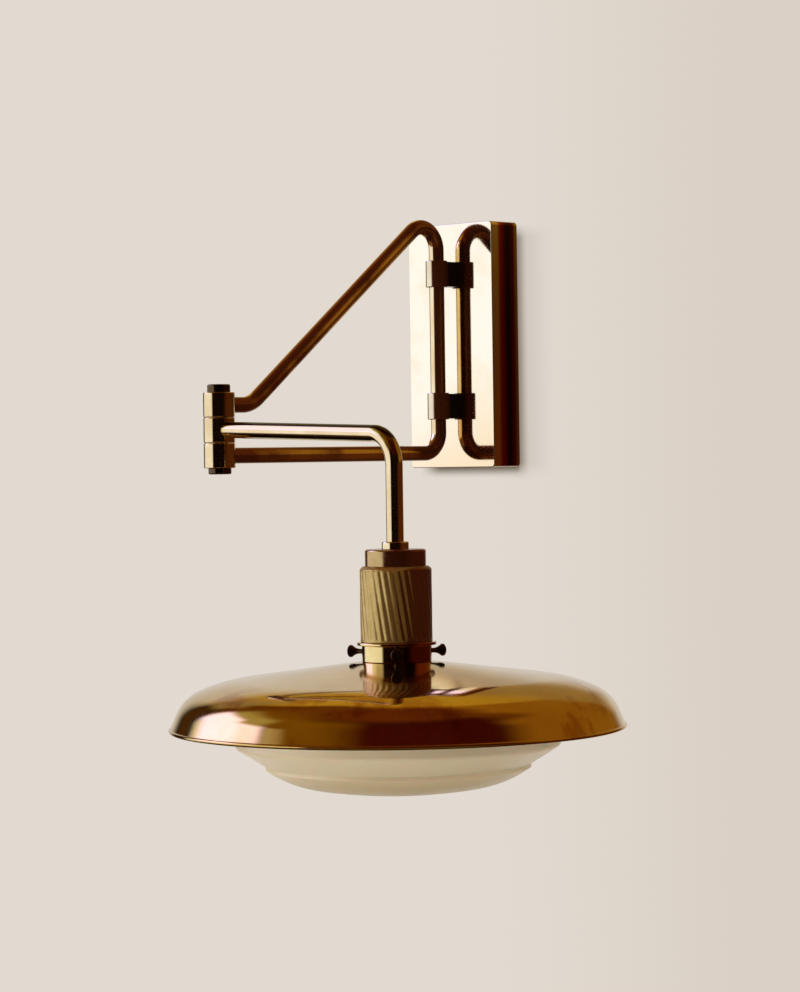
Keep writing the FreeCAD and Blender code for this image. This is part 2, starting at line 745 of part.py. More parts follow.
# Brackets that carry the arm, with washers, nuts and locating grub screws
washer_face = cover_inside + size("stud_washer_thick")
nut_face = washer_face + size("stud_nut_thick")
stud_end = nut_face + size("stud_margin")
washers = []
nuts = []
grubs = []
for side, height in bracket_heights.items():
    body = new_body(f"{side}_bracket_body")
    sleeve_sketch = new_sketch(body, "XY_Plane", f"{side}_sleeve_outline")
    add_circle(sleeve_sketch, (ZERO, ZERO), size("sleeve_radius"))
    sleeve = pad(body, sleeve_sketch, f"{side}_sleeve", size("sleeve_height"), both_ways=True)
    doc.recompute()
    rims = [f"Edge{number}" for number, edge in enumerate(sleeve.Shape.Edges, start=1)
            if edge.Closed]
    sleeve_round = body.newObject("PartDesign::Fillet", f"{side}_sleeve_edges")
    sleeve_round.Base = (sleeve, rims)
    bind(sleeve_round, "Radius", size("sleeve_edge"))
    neck_sketch = new_sketch(body, "XZ_Plane", f"{side}_neck_outline")
    half_neck = size("neck_width") / 2
    add_outline(neck_sketch, rectangle(-half_neck, -size("neck_height") / 2, half_neck,
                                       size("neck_height") / 2))
    pad(body, neck_sketch, f"{side}_neck", size("arm_standoff"), backwards=True)
    stud_sketch = new_sketch(body, "XZ_Plane", f"{side}_stud_outline")
    add_circle(stud_sketch, (ZERO, ZERO), size("stud_radius"))
    pad(body, stud_sketch, f"{side}_stud", stud_end - arm_line, backwards=True)
    bore_sketch = new_sketch(body, "XY_Plane", f"{side}_bore_outline")
    add_circle(bore_sketch, (ZERO, ZERO), size("tube_radius") + size("running_clearance"))
    cut_through(body, bore_sketch, f"{side}_bore")
    grub_hole = rod(f"{side}_grub_hole", size("grub_radius") + size("fixed_clearance"),
                    size("sleeve_radius") * 2, -size("sleeve_radius") * 2, ZERO,
                    size("grub_offset"), "X")
    tools = [grub_hole]
    if side == "lower":
        tools.append(rod("stud_lead_hole", size("lead_hole_radius"), size("cover_depth") * 2,
                         ZERO, ZERO, ZERO, "Y"))
    bracket = without(f"{side}_bracket_cut", body, tools)
    keep(place(bracket, ZERO, arm_line, height), f"{side}_bracket")

    washer = turned(f"{side}_washer", [
        (size("stud_radius") + size("fixed_clearance"), ZERO), (size("stud_washer_radius"), ZERO),
        (size("stud_washer_radius"), size("stud_washer_thick")),
        (size("stud_radius") + size("fixed_clearance"), size("stud_washer_thick")),
    ])
    washers.append(place(washer, ZERO, washer_face, height, 90, (1, 0, 0)))

    nut = new_body(f"{side}_nut")
    nut_sketch = new_sketch(nut, "XZ_Plane", f"{side}_nut_outline")
    add_outline(nut_sketch, hexagon(size("stud_nut_flats")))
    add_circle(nut_sketch, (ZERO, ZERO), size("stud_radius") + size("fixed_clearance"))
    pad(nut, nut_sketch, f"{side}_nut_block", size("stud_nut_thick"))
    nuts.append(place(nut, ZERO, nut_face, height))

    groove_floor = size("tube_radius") - size("groove_depth")
    tip_end = groove_floor + size("running_clearance") * 2
    tip_root = tip_end + size("grub_tip_length")
    grub_back = size("sleeve_radius") - size("grub_recess")
    grub = turned(f"{side}_grub", [
        (-grub_back, size("grub_socket_radius")), (-grub_back, size("grub_radius")),
        (-tip_root, size("grub_radius")), (-tip_root, size("grub_tip_radius")),
        (-tip_end, size("grub_tip_radius")), (-tip_end, ZERO),
        (size("grub_socket_depth") - grub_back, ZERO),
        (size("grub_socket_depth") - grub_back, size("grub_socket_radius")),
    ], axis="H_Axis")
    grubs.append(place(grub, ZERO, arm_line, height + size("grub_offset")))
keep(together("washer_pair", washers), "bracket_washers")
keep(together("nut_pair", nuts), "bracket_nuts")
keep(together("grub_pair", grubs), "bracket_grub_screws")

# Lead from the terminal block through the lower bracket's stud
lead_turn = -stud_end - size("wall_lead_depth")
lead_line = size("lower_bracket_height")
sleeve_inside = arm_line + size("tube_radius") + size("running_clearance") + size("seat_gap")
wall_lead = bent_tube(
    "wall_lead_body", "YZ_Plane",
    [(-size("wall_lead_depth"), block_low), (-size("wall_lead_depth"), lead_line),
     (sleeve_inside, lead_line)],
    [lead_turn], ("XY_Plane", block_low, (ZERO, -size("wall_lead_depth"))), size("lead_radius"))
keep(place(wall_lead), "wall_lead")

# One bent tube: stub, diagonal, peak, upright and foot
reach = -size("arm_reach")
tube_start = reach + size("socket_seat") + size("seat_gap") / 2
frame_points = [
    (tube_start, stub_height), (reach + size("stub_length"), stub_height),
    (ZERO, size("diagonal_peak")), (ZERO, foot_height), (tube_start, foot_height),
]
frame_tube = bent_tube(
    "arm_frame_tube", "YZ_Plane", frame_points,
    [size("stub_bend"), size("peak_bend"), size("foot_bend")],
    ("XZ_Plane", -tube_start, (ZERO, stub_height)), size("tube_radius"), size("tube_bore_radius"))
groove_tools = []
for side, height in bracket_heights.items():
    groove_low = height + size("grub_offset") - size("groove_width") / 2
    groove = turned(f"{side}_groove", [
        (size("tube_radius") - size("groove_depth"), groove_low),
        (size("tube_radius") * 2, groove_low),
        (size("tube_radius") * 2, groove_low + size("groove_width")),
        (size("tube_radius") - size("groove_depth"), groove_low + size("groove_width")),
    ])
    groove_tools.append(groove)
groove_tools.append(block("lead_window",
                          (-size("tube_radius") * 2, size("tube_bore_radius") / 2,
                           lead_line - size("lead_hole_radius")),
                          (size("tube_radius") * 4, size("tube_radius") * 2,
                           size("lead_hole_radius") * 2)))
keep(place(without("arm_frame_cut", frame_tube, groove_tools), ZERO, arm_line), "arm_frame")


# Three knuckles of the elbow hinge
def knuckle(label, height, bore, socket_direction, lead_hole):
    """Make one hinge barrel with a radial socket for its tube."""
    low = height - size("knuckle_height") / 2
    high = height + size("knuckle_height") / 2
    edge = size("knuckle_edge")
    barrel = turned(f"{label}_barrel", [
        (bore, low), (size("knuckle_radius") - edge, low), (size("knuckle_radius"), low + edge),
        (size("knuckle_radius"), high - edge), (size("knuckle_radius") - edge, high), (bore, high),
    ])
    start = {"X": [size("socket_seat"), ZERO], "Y": [ZERO, size("socket_seat")]}[socket_direction]
    tools = [rod(f"{label}_socket", size("tube_radius") + size("fixed_clearance"),
                 size("knuckle_radius"), *start, height, socket_direction)]
    if lead_hole:
        tools.append(rod(f"{label}_lead_hole", size("lead_hole_radius"), size("knuckle_radius"),
                         ZERO, ZERO, height, socket_direction))
    return without(f"{label}_cut", barrel, tools)


fixed_bore = size("pivot_radius") + size("fixed_clearance")
running_bore = size("pivot_radius") + size("running_clearance")
keep(place(knuckle("upper_knuckle", stub_height, fixed_bore, "Y", False), ZERO, elbow_line),
     "upper_knuckle")
keep(place(knuckle("lower_knuckle", foot_height, fixed_bore, "Y", True), ZERO, elbow_line),
     "lower_knuckle")
middle = knuckle("middle_knuckle", size("elbow_height"), running_bore, "X", True)
keep(place(middle, ZERO, elbow_line, ZERO, forearm_turn), "middle_knuckle")


# Headed pivots that hold the middle knuckle from above and below
def pivot_points(sign, seat, head_height):
    """Return the half section of a headed pivot; sign 1 has its head on top."""
    inner_end = size("elbow_height") + (size("knuckle_height") / 2 - size("pivot_reach")) * sign
    head_end = seat + head_height * sign
    edge = size("pivot_head_edge")
    return inner_end, [
        (size("pivot_bore_radius"), inner_end), (size("pivot_radius"), inner_end),
        (size("pivot_radius"), seat), (size("pivot_head_radius"), seat),
        (size("pivot_head_radius"), head_end - edge * sign),
        (size("pivot_head_radius") - edge, head_end), (ZERO, head_end),
        (ZERO, seat), (size("pivot_bore_radius"), seat),
    ]


top_seat = stub_height + size("knuckle_height") / 2
bottom_seat = foot_height - size("knuckle_height") / 2
upper_inner, points = pivot_points(1, top_seat, size("top_head_height"))
keep(place(turned("upper_pivot_body", points), ZERO, elbow_line), "upper_pivot")
lower_inner, points = pivot_points(-1, bottom_seat, size("bottom_head_height"))
lower_pivot = without("lower_pivot_cut", turned("lower_pivot_body", points), [
    rod("pivot_lead_hole", size("lead_hole_radius"), size("knuckle_radius"), ZERO, ZERO,
        foot_height, "Y")])
keep(place(lower_pivot, ZERO, elbow_line), "lower_pivot")

# Thin washers between the knuckles
washer_seats = {
    "upper": size("elbow_height") + size("knuckle_height") / 2,
    "lower": foot_height + size("knuckle_height") / 2,
}
for side, seat in washer_seats.items():
    washer = turned(f"{side}_hinge_washer_body", [
        (running_bore, seat), (size("hinge_washer_radius"), seat),
        (size("hinge_washer_radius"), seat + size("hinge_washer_thick")),
        (running_bore, seat + size("hinge_washer_thick")),
    ])
    keep(place(washer, ZERO, elbow_line), f"{side}_hinge_washer")

# Lead inside the arm, from the lower bracket round the foot into the lower pivot
arm_lead = bent_tube(
    "arm_lead_body", "YZ_Plane",
    [(ZERO, lead_line), (ZERO, foot_height), (reach, foot_height), (reach, lower_inner)],
    [size("foot_bend"), size("lead_bend_radius")],
    ("XY_Plane", lead_line, (ZERO, ZERO)), size("lead_radius"))
keep(place(arm_lead, ZERO, arm_line), "arm_lead")

# Forearm tube: level start, gently falling run, bend and stem
forearm_start = size("socket_seat") + size("seat_gap") / 2
stem_end = cap_top - size("stem_tail_length")
forearm_corners = [
    (size("forearm_level_length"), size("elbow_height")),
    (size("forearm_reach"), size("elbow_height") - size("forearm_fall")),
]
forearm_bends = [size("forearm_set_radius"), size("forearm_bend")]
forearm = bent_tube(
    "forearm_tube_body", "XZ_Plane",
    [(forearm_start, size("elbow_height")), *forearm_corners, (size("forearm_reach"), stem_end)],
    forearm_bends, ("YZ_Plane", forearm_start, (ZERO, size("elbow_height"))),
    size("tube_radius"), size("tube_bore_radius"))
keep(place(forearm, ZERO, elbow_line, ZERO, forearm_turn), "forearm_tube")
lead_start = running_bore + size("seat_gap")
forearm_lead = bent_tube(
    "forearm_lead_body", "XZ_Plane",
    [(lead_start, size("elbow_height")), *forearm_corners,
     (size("forearm_reach"), core_top - size("cap_top"))],
    forearm_bends, ("YZ_Plane", lead_start, (ZERO, size("elbow_height"))),
    size("lead_radius"))
keep(place(forearm_lead, ZERO, elbow_line, ZERO, forearm_turn), "forearm_lead")

# Collar, cap and nut at the stem's foot
stem_bore = size("tube_radius") + size("fixed_clearance")
collar_edge = size("collar_edge")
keep(on_stem(turned("stem_collar_body", [
    (stem_bore, cap_top), (size("collar_radius"), cap_top),
    (size("collar_radius"), collar_top - collar_edge),
    (size("collar_radius") - collar_edge, collar_top), (stem_bore, collar_top),
])), "stem_collar")
cap_edge = size("cap_edge")
cap_inner = size("cap_radius") - size("cap_wall")
keep(on_stem(turned("holder_cap_body", [
    (stem_bore, cap_top - size("cap_top")), (cap_inner, cap_top - size("cap_top")),
    (cap_inner, shell_top), (size("cap_radius"), shell_top),
    (size("cap_radius"), cap_top - cap_edge), (size("cap_radius") - cap_edge, cap_top),
    (stem_bore, cap_top),
], {4: (cap_edge, 1)})), "holder_cap")
stem_nut = new_body("stem_nut_body")
stem_nut_sketch = new_sketch(stem_nut, "XY_Plane", "stem_nut_outline")
add_outline(stem_nut_sketch, hexagon(size("stem_nut_flats")))
add_circle(stem_nut_sketch, (ZERO, ZERO), stem_bore)
pad(stem_nut, stem_nut_sketch, "stem_nut_block", size("stem_nut_thick"), backwards=True)
keep(place(stem_nut, stem_across, stem_along, cap_top - size("cap_top")), "stem_nut")

# Holder shell
shell_inner = size("shell_radius") - size("shell_wall")
shell_edge = size("shell_edge")
keep(on_stem(turned("holder_shell_body", [
    (size("shoulder_hole_radius"), core_top), (shell_inner, core_top), (shell_inner, flange_top),
    (size("shell_radius"), flange_top), (size("shell_radius"), shell_top - shell_edge),
    (size("shell_radius") - shell_edge, shell_top), (size("shoulder_hole_radius"), shell_top),
])), "holder_shell")

# Porcelain core with its screw shell, contact and terminal screws
core_radius = shell_inner - size("core_gap")
core_blank = turned("holder_core_blank", [
    (size("core_lead_radius"), socket_floor), (size("socket_radius"), socket_floor),
    (size("socket_radius"), core_foot), (core_radius, core_foot), (core_radius, core_top),
    (size("core_lead_radius"), core_top),
])
core_tools = []
holder_screws = []
for sign in (-1, 1):
    across = size("holder_screw_circle") * sign
    core_tools.append(rod(f"core_screw_hole_{sign}", size("holder_screw_radius") + size("fixed_clearance"),
                          size("holder_screw_length") * 2, across, ZERO,
                          core_top - size("holder_screw_length")))
    piece = screw(f"holder_screw_{sign}", size("holder_screw_radius"), size("holder_screw_length"),
                  size("holder_screw_head_radius"), size("holder_screw_head_height"))
    holder_screws.append(place(piece, stem_across + across, stem_along, core_top))
keep(on_stem(without("holder_core_cut", core_blank, core_tools)), "holder_core")
keep(together("holder_screw_pair", holder_screws), "holder_screws")
screw_shell_outer = size("socket_radius") - size("fixed_clearance")
screw_shell_inner = screw_shell_outer - size("screw_shell_wall")
keep(on_stem(turned("holder_thread_body", [
    (screw_shell_inner, core_foot), (screw_shell_outer, core_foot),
    (screw_shell_outer, socket_floor), (screw_shell_inner, socket_floor),
])), "holder_thread")
keep(on_stem(turned("holder_contact_body", [
    (ZERO, contact_face), (size("contact_radius"), contact_face),
    (size("contact_radius"), socket_floor), (ZERO, socket_floor),
])), "holder_contact")

# Gallery ring below the shell
ring_inner = size("ring_radius") - size("ring_wall")
spigot_outer = shell_inner - size("running_clearance")
spigot_inner = spigot_outer - size("ring_wall")
flange_edge = size("flange_edge")
gallery_blank = turned("gallery_blank", [
    (spigot_inner, ring_top), (ring_inner, ring_top), (ring_inner, ring_foot),
    (size("ring_radius"), ring_foot), (size("ring_radius"), ring_top),
    (size("flange_radius") - flange_edge, ring_top), (size("flange_radius"), ring_top + flange_edge),
    (size("flange_radius"), flange_top - flange_edge),
    (size("flange_radius") - flange_edge, flange_top), (spigot_outer, flange_top),
    (spigot_outer, flange_top + size("spigot_height")),
    (spigot_inner, flange_top + size("spigot_height")),
])
thumb_height = ring_top - size("thumb_depth")
shade_neck = ring_inner - size("neck_clearance")
gallery_tools = []
for index in range(THUMB_COUNT):
    angle = size("thumb_first_angle") + 360.0 * index / THUMB_COUNT
    hole = turned(f"thumb_hole_{index}", [
        (ring_inner / 2, ZERO), (ring_inner / 2, size("thumb_radius") + size("running_clearance")),
        (size("flange_radius"), size("thumb_radius") + size("running_clearance")),
        (size("flange_radius"), ZERO),
    ], axis="H_Axis")
    gallery_tools.append(place(hole, ZERO, ZERO, thumb_height, angle))
    tip = shade_neck + size("running_clearance")
    neck_end = size("ring_radius") + size("thumb_neck_length")
    head_end = neck_end + size("thumb_head_length")
    thumb = turned(f"thumbscrew_{index + 1}_body", [
        (tip, ZERO), (tip, size("thumb_radius") - size("thumb_tip_bevel")),
        (tip + size("thumb_tip_bevel"), size("thumb_radius")),
        (neck_end, size("thumb_radius")),
        (head_end - size("thumb_rim"), size("thumb_head_radius")),
        (head_end, size("thumb_head_radius")), (head_end, ZERO),
    ], axis="H_Axis")
    keep(place(thumb, stem_across, stem_along, thumb_height, angle), f"thumbscrew_{index + 1}")
keep(on_stem(without("gallery_cut", gallery_blank, gallery_tools)), "gallery_ring")


# Spun shade, drawn as an outer line and the same line one wall further in
def inward(point, slope, wall):
    """Return the point one wall thickness inside a surface that falls at that slope."""
    return point[0] - wall * sine(slope), point[1] - wall * cosine(slope)


def along_arc(point, slope, next_slope, curve):
    """Return the point where an arc that starts at one slope reaches the next."""
    return (point[0] + curve * (sine(next_slope) - sine(slope)),
            point[1] - curve * (cosine(slope) - cosine(next_slope)))


wall = size("shade_wall")
crown_slope = size("crown_slope")
shoulder_slope = size("shoulder_slope")
skirt_slope = size("skirt_slope")
shade_top = ring_foot - size("seat_gap")
neck_foot = shade_top + (size("ring_radius") - shade_neck) * tangent(crown_slope)
crown = (size("crown_radius"),
         shade_top - (size("crown_radius") - size("ring_radius")) * tangent(crown_slope))
shoulder = along_arc(crown, crown_slope, shoulder_slope, size("upper_shoulder_curve_radius"))
skirt = along_arc(shoulder, shoulder_slope, skirt_slope, size("lower_shoulder_curve_radius"))
bead_line = skirt[0] + size("skirt_width")
bead_top = skirt[1] - (bead_line - skirt[0]) * tangent(skirt_slope)
bead_foot = bead_top - size("rim_bead") * 2
crown_in = inward(crown, crown_slope, wall)
shoulder_in = inward(shoulder, shoulder_slope, wall)
skirt_in = inward(skirt, skirt_slope, wall)
neck_in = shade_neck - wall
neck_in_foot = crown_in[1] + (crown_in[0] - neck_in) * tangent(crown_slope)
neck_top = ring_top - size("neck_top_gap")
shade = turned("shade_body", [
    (shade_neck, neck_top), (shade_neck, neck_foot), crown, shoulder, skirt,
    (bead_line, bead_top), (bead_line, bead_foot),
    (skirt_in[0] + (skirt_in[1] - bead_foot) / tangent(skirt_slope), bead_foot),
    skirt_in, shoulder_in, crown_in, (neck_in, neck_in_foot), (neck_in, neck_top),
], {
    2: (size("upper_shoulder_curve_radius"), -1), 3: (size("lower_shoulder_curve_radius"), -1),
    5: (size("rim_bead"), -1),
    8: (size("lower_shoulder_curve_radius") - wall, 1), 9: (size("upper_shoulder_curve_radius") - wall, 1),
})
keep(on_stem(shade), "shade")

# Stepped glass bowl under the shade
glass = size("glass_wall")
glass_floor = bead_foot - size("glass_depth")
floor_curve = size("glass_floor_curve_radius")
turn_curve = size("glass_round_curve_radius")
floor_sine = size("glass_floor_radius") / floor_curve
floor_cosine = root(1 - floor_sine * floor_sine)
turn_sine = floor_sine + size("glass_round_width") / turn_curve
turn_cosine = root(1 - turn_sine * turn_sine)
floor_edge = (size("glass_floor_radius"), glass_floor + floor_curve * (1 - floor_cosine))
turn_edge = (floor_edge[0] + size("glass_round_width"),
             floor_edge[1] + turn_curve * (floor_cosine - turn_cosine))
step_foot = turn_edge[1] + size("glass_step_height")
cone_foot = (turn_edge[0] + size("glass_step_width"), step_foot + size("glass_step_rise"))
cone_slope = size("glass_cone_slope")
cone_head = (cone_foot[0] + size("glass_cone_width"),
             cone_foot[1] + size("glass_cone_width") * tangent(cone_slope))
glass_rim = cone_head[0] + size("glass_flange_width")
flange_low = bead_foot - size("clip_thick")
flange_high = flange_low + glass
cone_in = (cone_foot[0] - glass * sine(cone_slope), cone_foot[1] + glass * cosine(cone_slope))
wall_in = cone_head[0] - glass
bowl = turned("glass_bowl_body", [
    (ZERO, glass_floor), floor_edge, turn_edge, (turn_edge[0], step_foot), cone_foot,
    cone_head, (cone_head[0], flange_low), (glass_rim, flange_low), (glass_rim, flange_high),
    (wall_in, flange_high), (wall_in, cone_in[1] + (wall_in - cone_in[0]) * tangent(cone_slope)),
    cone_in,
    (turn_edge[0] - glass * turn_sine, turn_edge[1] + glass * turn_cosine),
    (floor_edge[0] - glass * floor_sine, floor_edge[1] + glass * floor_cosine),
    (ZERO, glass_floor + glass),
], {
    0: (floor_curve, 1), 1: (turn_curve, 1), 12: (turn_curve - glass, -1), 13: (floor_curve - glass, -1),
})
keep(on_stem(bowl), "glass_bowl")

# Clips that hang the bowl's flange from the shade's underside
clip_inner = glass_rim + size("seat_gap")
clip_outer = clip_inner + size("clip_thick")
clip_foot = flange_low - size("clip_thick")
curve_in = size("upper_shoulder_curve_radius") - wall
curve_centre = inward(crown, crown_slope, size("upper_shoulder_curve_radius"))
clip_side = root(clip_outer * clip_outer + size("clip_width") * size("clip_width") / 4)
clip_offset = clip_side - curve_centre[0]
clip_top = curve_centre[1] + root(curve_in * curve_in - clip_offset * clip_offset) - size("seat_gap")
clips = []
for index in range(CLIP_COUNT):
    clip = new_body(f"glass_clip_{index}")
    clip_sketch = new_sketch(clip, "XZ_Plane", f"clip_outline_{index}")
    add_outline(clip_sketch, [
        (clip_inner - size("clip_lap_length"), clip_foot), (clip_outer, clip_foot), (clip_outer, clip_top),
        (clip_inner, clip_top), (clip_inner, flange_low), (clip_inner - size("clip_lap_length"), flange_low),
    ])
    pad(clip, clip_sketch, f"clip_strip_{index}", size("clip_width"), both_ways=True)
    angle = size("thumb_first_angle") + 360.0 * (index + 0.5) / CLIP_COUNT
    clips.append(place(clip, stem_across, stem_along, ZERO, angle))
keep(together("clip_group", clips), "glass_clips")

# Bulb: contact button, screw cap and glass
button_foot = contact_face - size("bulb_button_height")
cap_foot = button_foot - size("bulb_cap_length")
keep(on_stem(turned("bulb_contact_body", [
    (ZERO, button_foot), (size("bulb_button_radius"), button_foot),
    (size("bulb_button_radius") - size("bulb_button_bevel"), contact_face), (ZERO, contact_face),
])), "bulb_contact")
cap_wall = size("bulb_cap_wall")
cap_shoulder = button_foot - size("bulb_cap_shoulder_height")
keep(on_stem(turned("bulb_cap_body", [
    (ZERO, button_foot - cap_wall), (size("bulb_cap_shoulder_radius") - cap_wall, button_foot - cap_wall),
    (size("bulb_cap_radius") - cap_wall, cap_shoulder - cap_wall),
    (size("bulb_cap_radius") - cap_wall, cap_foot), (size("bulb_cap_radius"), cap_foot),
    (size("bulb_cap_radius"), cap_shoulder), (size("bulb_cap_shoulder_radius"), button_foot),
    (ZERO, button_foot),
])), "bulb_cap")
bulb_centre = contact_face - size("bulb_length") + size("bulb_radius")
bulb_inner = size("bulb_radius") - size("bulb_wall")
neck_inner = size("bulb_neck_radius") - size("bulb_wall")
joint_height = bulb_centre + root(size("bulb_radius") * size("bulb_radius")
                                  - size("bulb_neck_radius") * size("bulb_neck_radius"))
joint_inner = bulb_centre + root(bulb_inner * bulb_inner - neck_inner * neck_inner)
neck_head = cap_foot + size("bulb_neck_lap_length")
keep(on_stem(turned("bulb_glass_body", [
    (ZERO, bulb_centre - size("bulb_radius")), (size("bulb_radius"), bulb_centre),
    (size("bulb_neck_radius"), joint_height),
    (size("bulb_neck_radius"), neck_head), (neck_inner, neck_head), (neck_inner, joint_inner),
    (bulb_inner, bulb_centre), (ZERO, bulb_centre - bulb_inner),
], {
    0: (size("bulb_radius"), 1), 1: (size("bulb_radius"), 1),
    5: (bulb_inner, -1), 6: (bulb_inner, -1),
})), "bulb_glass")

# Build, test and write every sub-part
doc.recompute()
faults = [item.Name for item in doc.Objects if {"Invalid", "Error"} & set(item.State)]
for piece in nodes:
    shape = piece.Shape
    if shape.isNull() or not shape.isValid() or not shape.Solids:
        faults.append(piece.Label)
if faults:
    raise RuntimeError("Failed objects: " + ", ".join(faults))
os.makedirs("parts", exist_ok=True)
for piece in nodes:
    piece.Shape.exportStep(os.path.join("parts", f"{piece.Label}.step"))
    print(piece.Label, len(piece.Shape.Solids), round(piece.Shape.Volume, 1))
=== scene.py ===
"""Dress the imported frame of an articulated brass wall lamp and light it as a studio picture."""

import logging
import math
from dataclasses import dataclass
from enum import Enum
from typing import Optional, Sequence, Union

import bmesh
import bpy
from mathutils import Matrix, Vector


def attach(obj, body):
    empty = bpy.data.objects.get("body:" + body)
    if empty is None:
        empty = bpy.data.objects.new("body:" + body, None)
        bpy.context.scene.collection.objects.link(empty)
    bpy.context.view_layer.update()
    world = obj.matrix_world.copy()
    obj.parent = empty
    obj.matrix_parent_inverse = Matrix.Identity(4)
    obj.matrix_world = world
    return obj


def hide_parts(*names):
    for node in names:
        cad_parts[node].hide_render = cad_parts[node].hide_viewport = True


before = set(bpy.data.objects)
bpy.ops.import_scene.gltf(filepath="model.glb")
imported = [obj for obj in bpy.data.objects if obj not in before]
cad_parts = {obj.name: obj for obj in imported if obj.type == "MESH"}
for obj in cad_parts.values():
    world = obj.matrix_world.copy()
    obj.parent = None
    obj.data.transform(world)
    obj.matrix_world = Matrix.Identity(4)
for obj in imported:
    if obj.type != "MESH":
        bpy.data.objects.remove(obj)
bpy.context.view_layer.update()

LOG = logging.getLogger("wall_lamp")
MM = 0.001
FULL_TURN = 2 * math.pi
QUARTER_TURN = math.pi / 2
# A radius below this lies on the axis
ON_AXIS = 1e-6
# A rounding takes up at most this share of the edges beside it
EDGE_SHARE = 0.48

Colour = tuple[float, float, float]
Axis = tuple[float, float, float]
Corner = tuple[float, float, float]
Point = tuple[float, float]
Range = tuple[float, float]
Piece = bpy.types.Object
Material = bpy.types.Material
Socket = bpy.types.NodeSocket
Paint = Union[Socket, Colour]
Value = Union[Socket, float]


class Body(Enum):
    """The rigid bodies of the frame."""

    WALL = "wall_mount"
    ARM = "arm"
    FOREARM = "forearm"
    THUMBSCREW = "thumbscrew_body"


class Grain(Enum):
    """The tool marks that a metal surface carries."""

    NONE = "none"
    SPUN = "spun"
    DRAWN = "drawn"


class Ease(Enum):
    """How a value runs between two ends."""

    STRAIGHT = "LINEAR"
    SOFT = "SMOOTHSTEP"


class Source(Enum):
    """What a pattern is laid out by: the place, the facing or the view direction in the room."""

    PLACE = "Object"
    FACING = "Normal"
    DIRECTION = "Generated"


@dataclass(frozen=True)
class Layout:
    """Main places of the lamp, in millimetres from the middle of the wall plate's back."""

    pivot_line: float = -37.8
    elbow_line: float = -233.8
    elbow_height: float = -55.3
    knuckle_pitch: float = 15.6
    forearm_reach: float = 169.0
    forearm_angle: float = math.radians(6.7)

    @property
    def stem(self) -> Point:
        """Plan position of the stem's axis."""
        across = self.forearm_reach * math.cos(self.forearm_angle)
        return across, self.elbow_line - self.forearm_reach * math.sin(self.forearm_angle)

    @property
    def elbow(self) -> Point:
        """Plan position of the elbow hinge."""
        return 0.0, self.elbow_line


LAYOUT = Layout()


# Mesh helpers

@dataclass
class Shape:
    """Points in millimetres and the faces between them."""

    vertices: list[Vector]
    faces: list[list[int]]

    @classmethod
    def flat(cls, points: Sequence[Vector]) -> "Shape":
        """Return one flat face with these corners."""
        return cls(list(points), [list(range(len(points)))])

    @classmethod
    def skinned(cls, rings: Sequence[Sequence[Vector]], closed: bool = False) -> "Shape":
        """Lay a skin over rings of points.

        Args:
            rings: The rings, each joined to the next; a ring of one point is a tip.
            closed: Whether the last ring joins the first. If not, both ends are capped.

        Returns:
            The skin.
        """
        shape = cls([], [])
        loops = []
        for ring in rings:
            first = len(shape.vertices)
            shape.vertices += ring
            loops.append(list(range(first, len(shape.vertices))))
        if closed:
            shape.bridge(loops + loops[:1])
        else:
            shape.bridge(loops)
            shape.faces += [loops[0], loops[-1]]
        return shape

    def moved(self, matrix: Matrix) -> "Shape":
        """Return the same shape in another place."""
        return Shape([matrix @ vertex for vertex in self.vertices], self.faces)

    def joined(self, other: "Shape") -> "Shape":
        """Join another shape to this one.

        Args:
            other: The shape to add.

        Returns:
            Both as one shape.
        """
        shift = len(self.vertices)
        faces = [[corner + shift for corner in face] for face in other.faces]
        return Shape(self.vertices + other.vertices, self.faces + faces)

    def bridge(self, loops: Sequence[Sequence[int]]) -> None:
        """Add the quads between each loop and the next.

        Args:
            loops: Point numbers of each loop; a loop of one point closes to a tip.
        """
        for low, high in zip(loops, loops[1:]):
            count = max(len(low), len(high))
            if count == 1:
                continue
            for step in range(count):
                after = (step + 1) % count
                face = [low[step % len(low)], low[after % len(low)],
                        high[after % len(high)], high[step % len(high)]]
                self.faces.append(list(dict.fromkeys(face)))


def in_scene(name: str, data: bpy.types.ID) -> Piece:
    """Put a new object into the scene.

    Args:
        name: The object's name.
        data: Its mesh, camera or light.

    Returns:
        The object.
    """
    thing = bpy.data.objects.new(name, data)
    bpy.context.scene.collection.objects.link(thing)
    return thing


def new_piece(name: str, shape: Shape, place: Point = (0.0, 0.0),
              crease: float = 38.0, solid: bool = True) -> Piece:
    """Make a smooth mesh object from a shape.

    Args:
        name: The piece's name.
        shape: Its points and faces.
        place: Plan position of the object's origin in millimetres.
        crease: Edges that turn more than this many degrees stay sharp.
        solid: Whether the faces close a volume and are to face out of it.

    Returns:
        The new object.
    """
    mesh = bpy.data.meshes.new(name)
    mesh.from_pydata([vertex * MM for vertex in shape.vertices], [], shape.faces)
    if solid:
        work = bmesh.new()
        work.from_mesh(mesh)
        bmesh.ops.recalc_face_normals(work, faces=work.faces)
        work.to_mesh(mesh)
        work.free()
    mesh.shade_smooth()
    mesh.set_sharp_from_angle(angle=math.radians(crease))
    piece = in_scene(name, mesh)
    piece.location = (place[0] * MM, place[1] * MM, 0.0)
    weighting = piece.modifiers.new("even_normals", "WEIGHTED_NORMAL")
    weighting.keep_sharp = True
    return piece


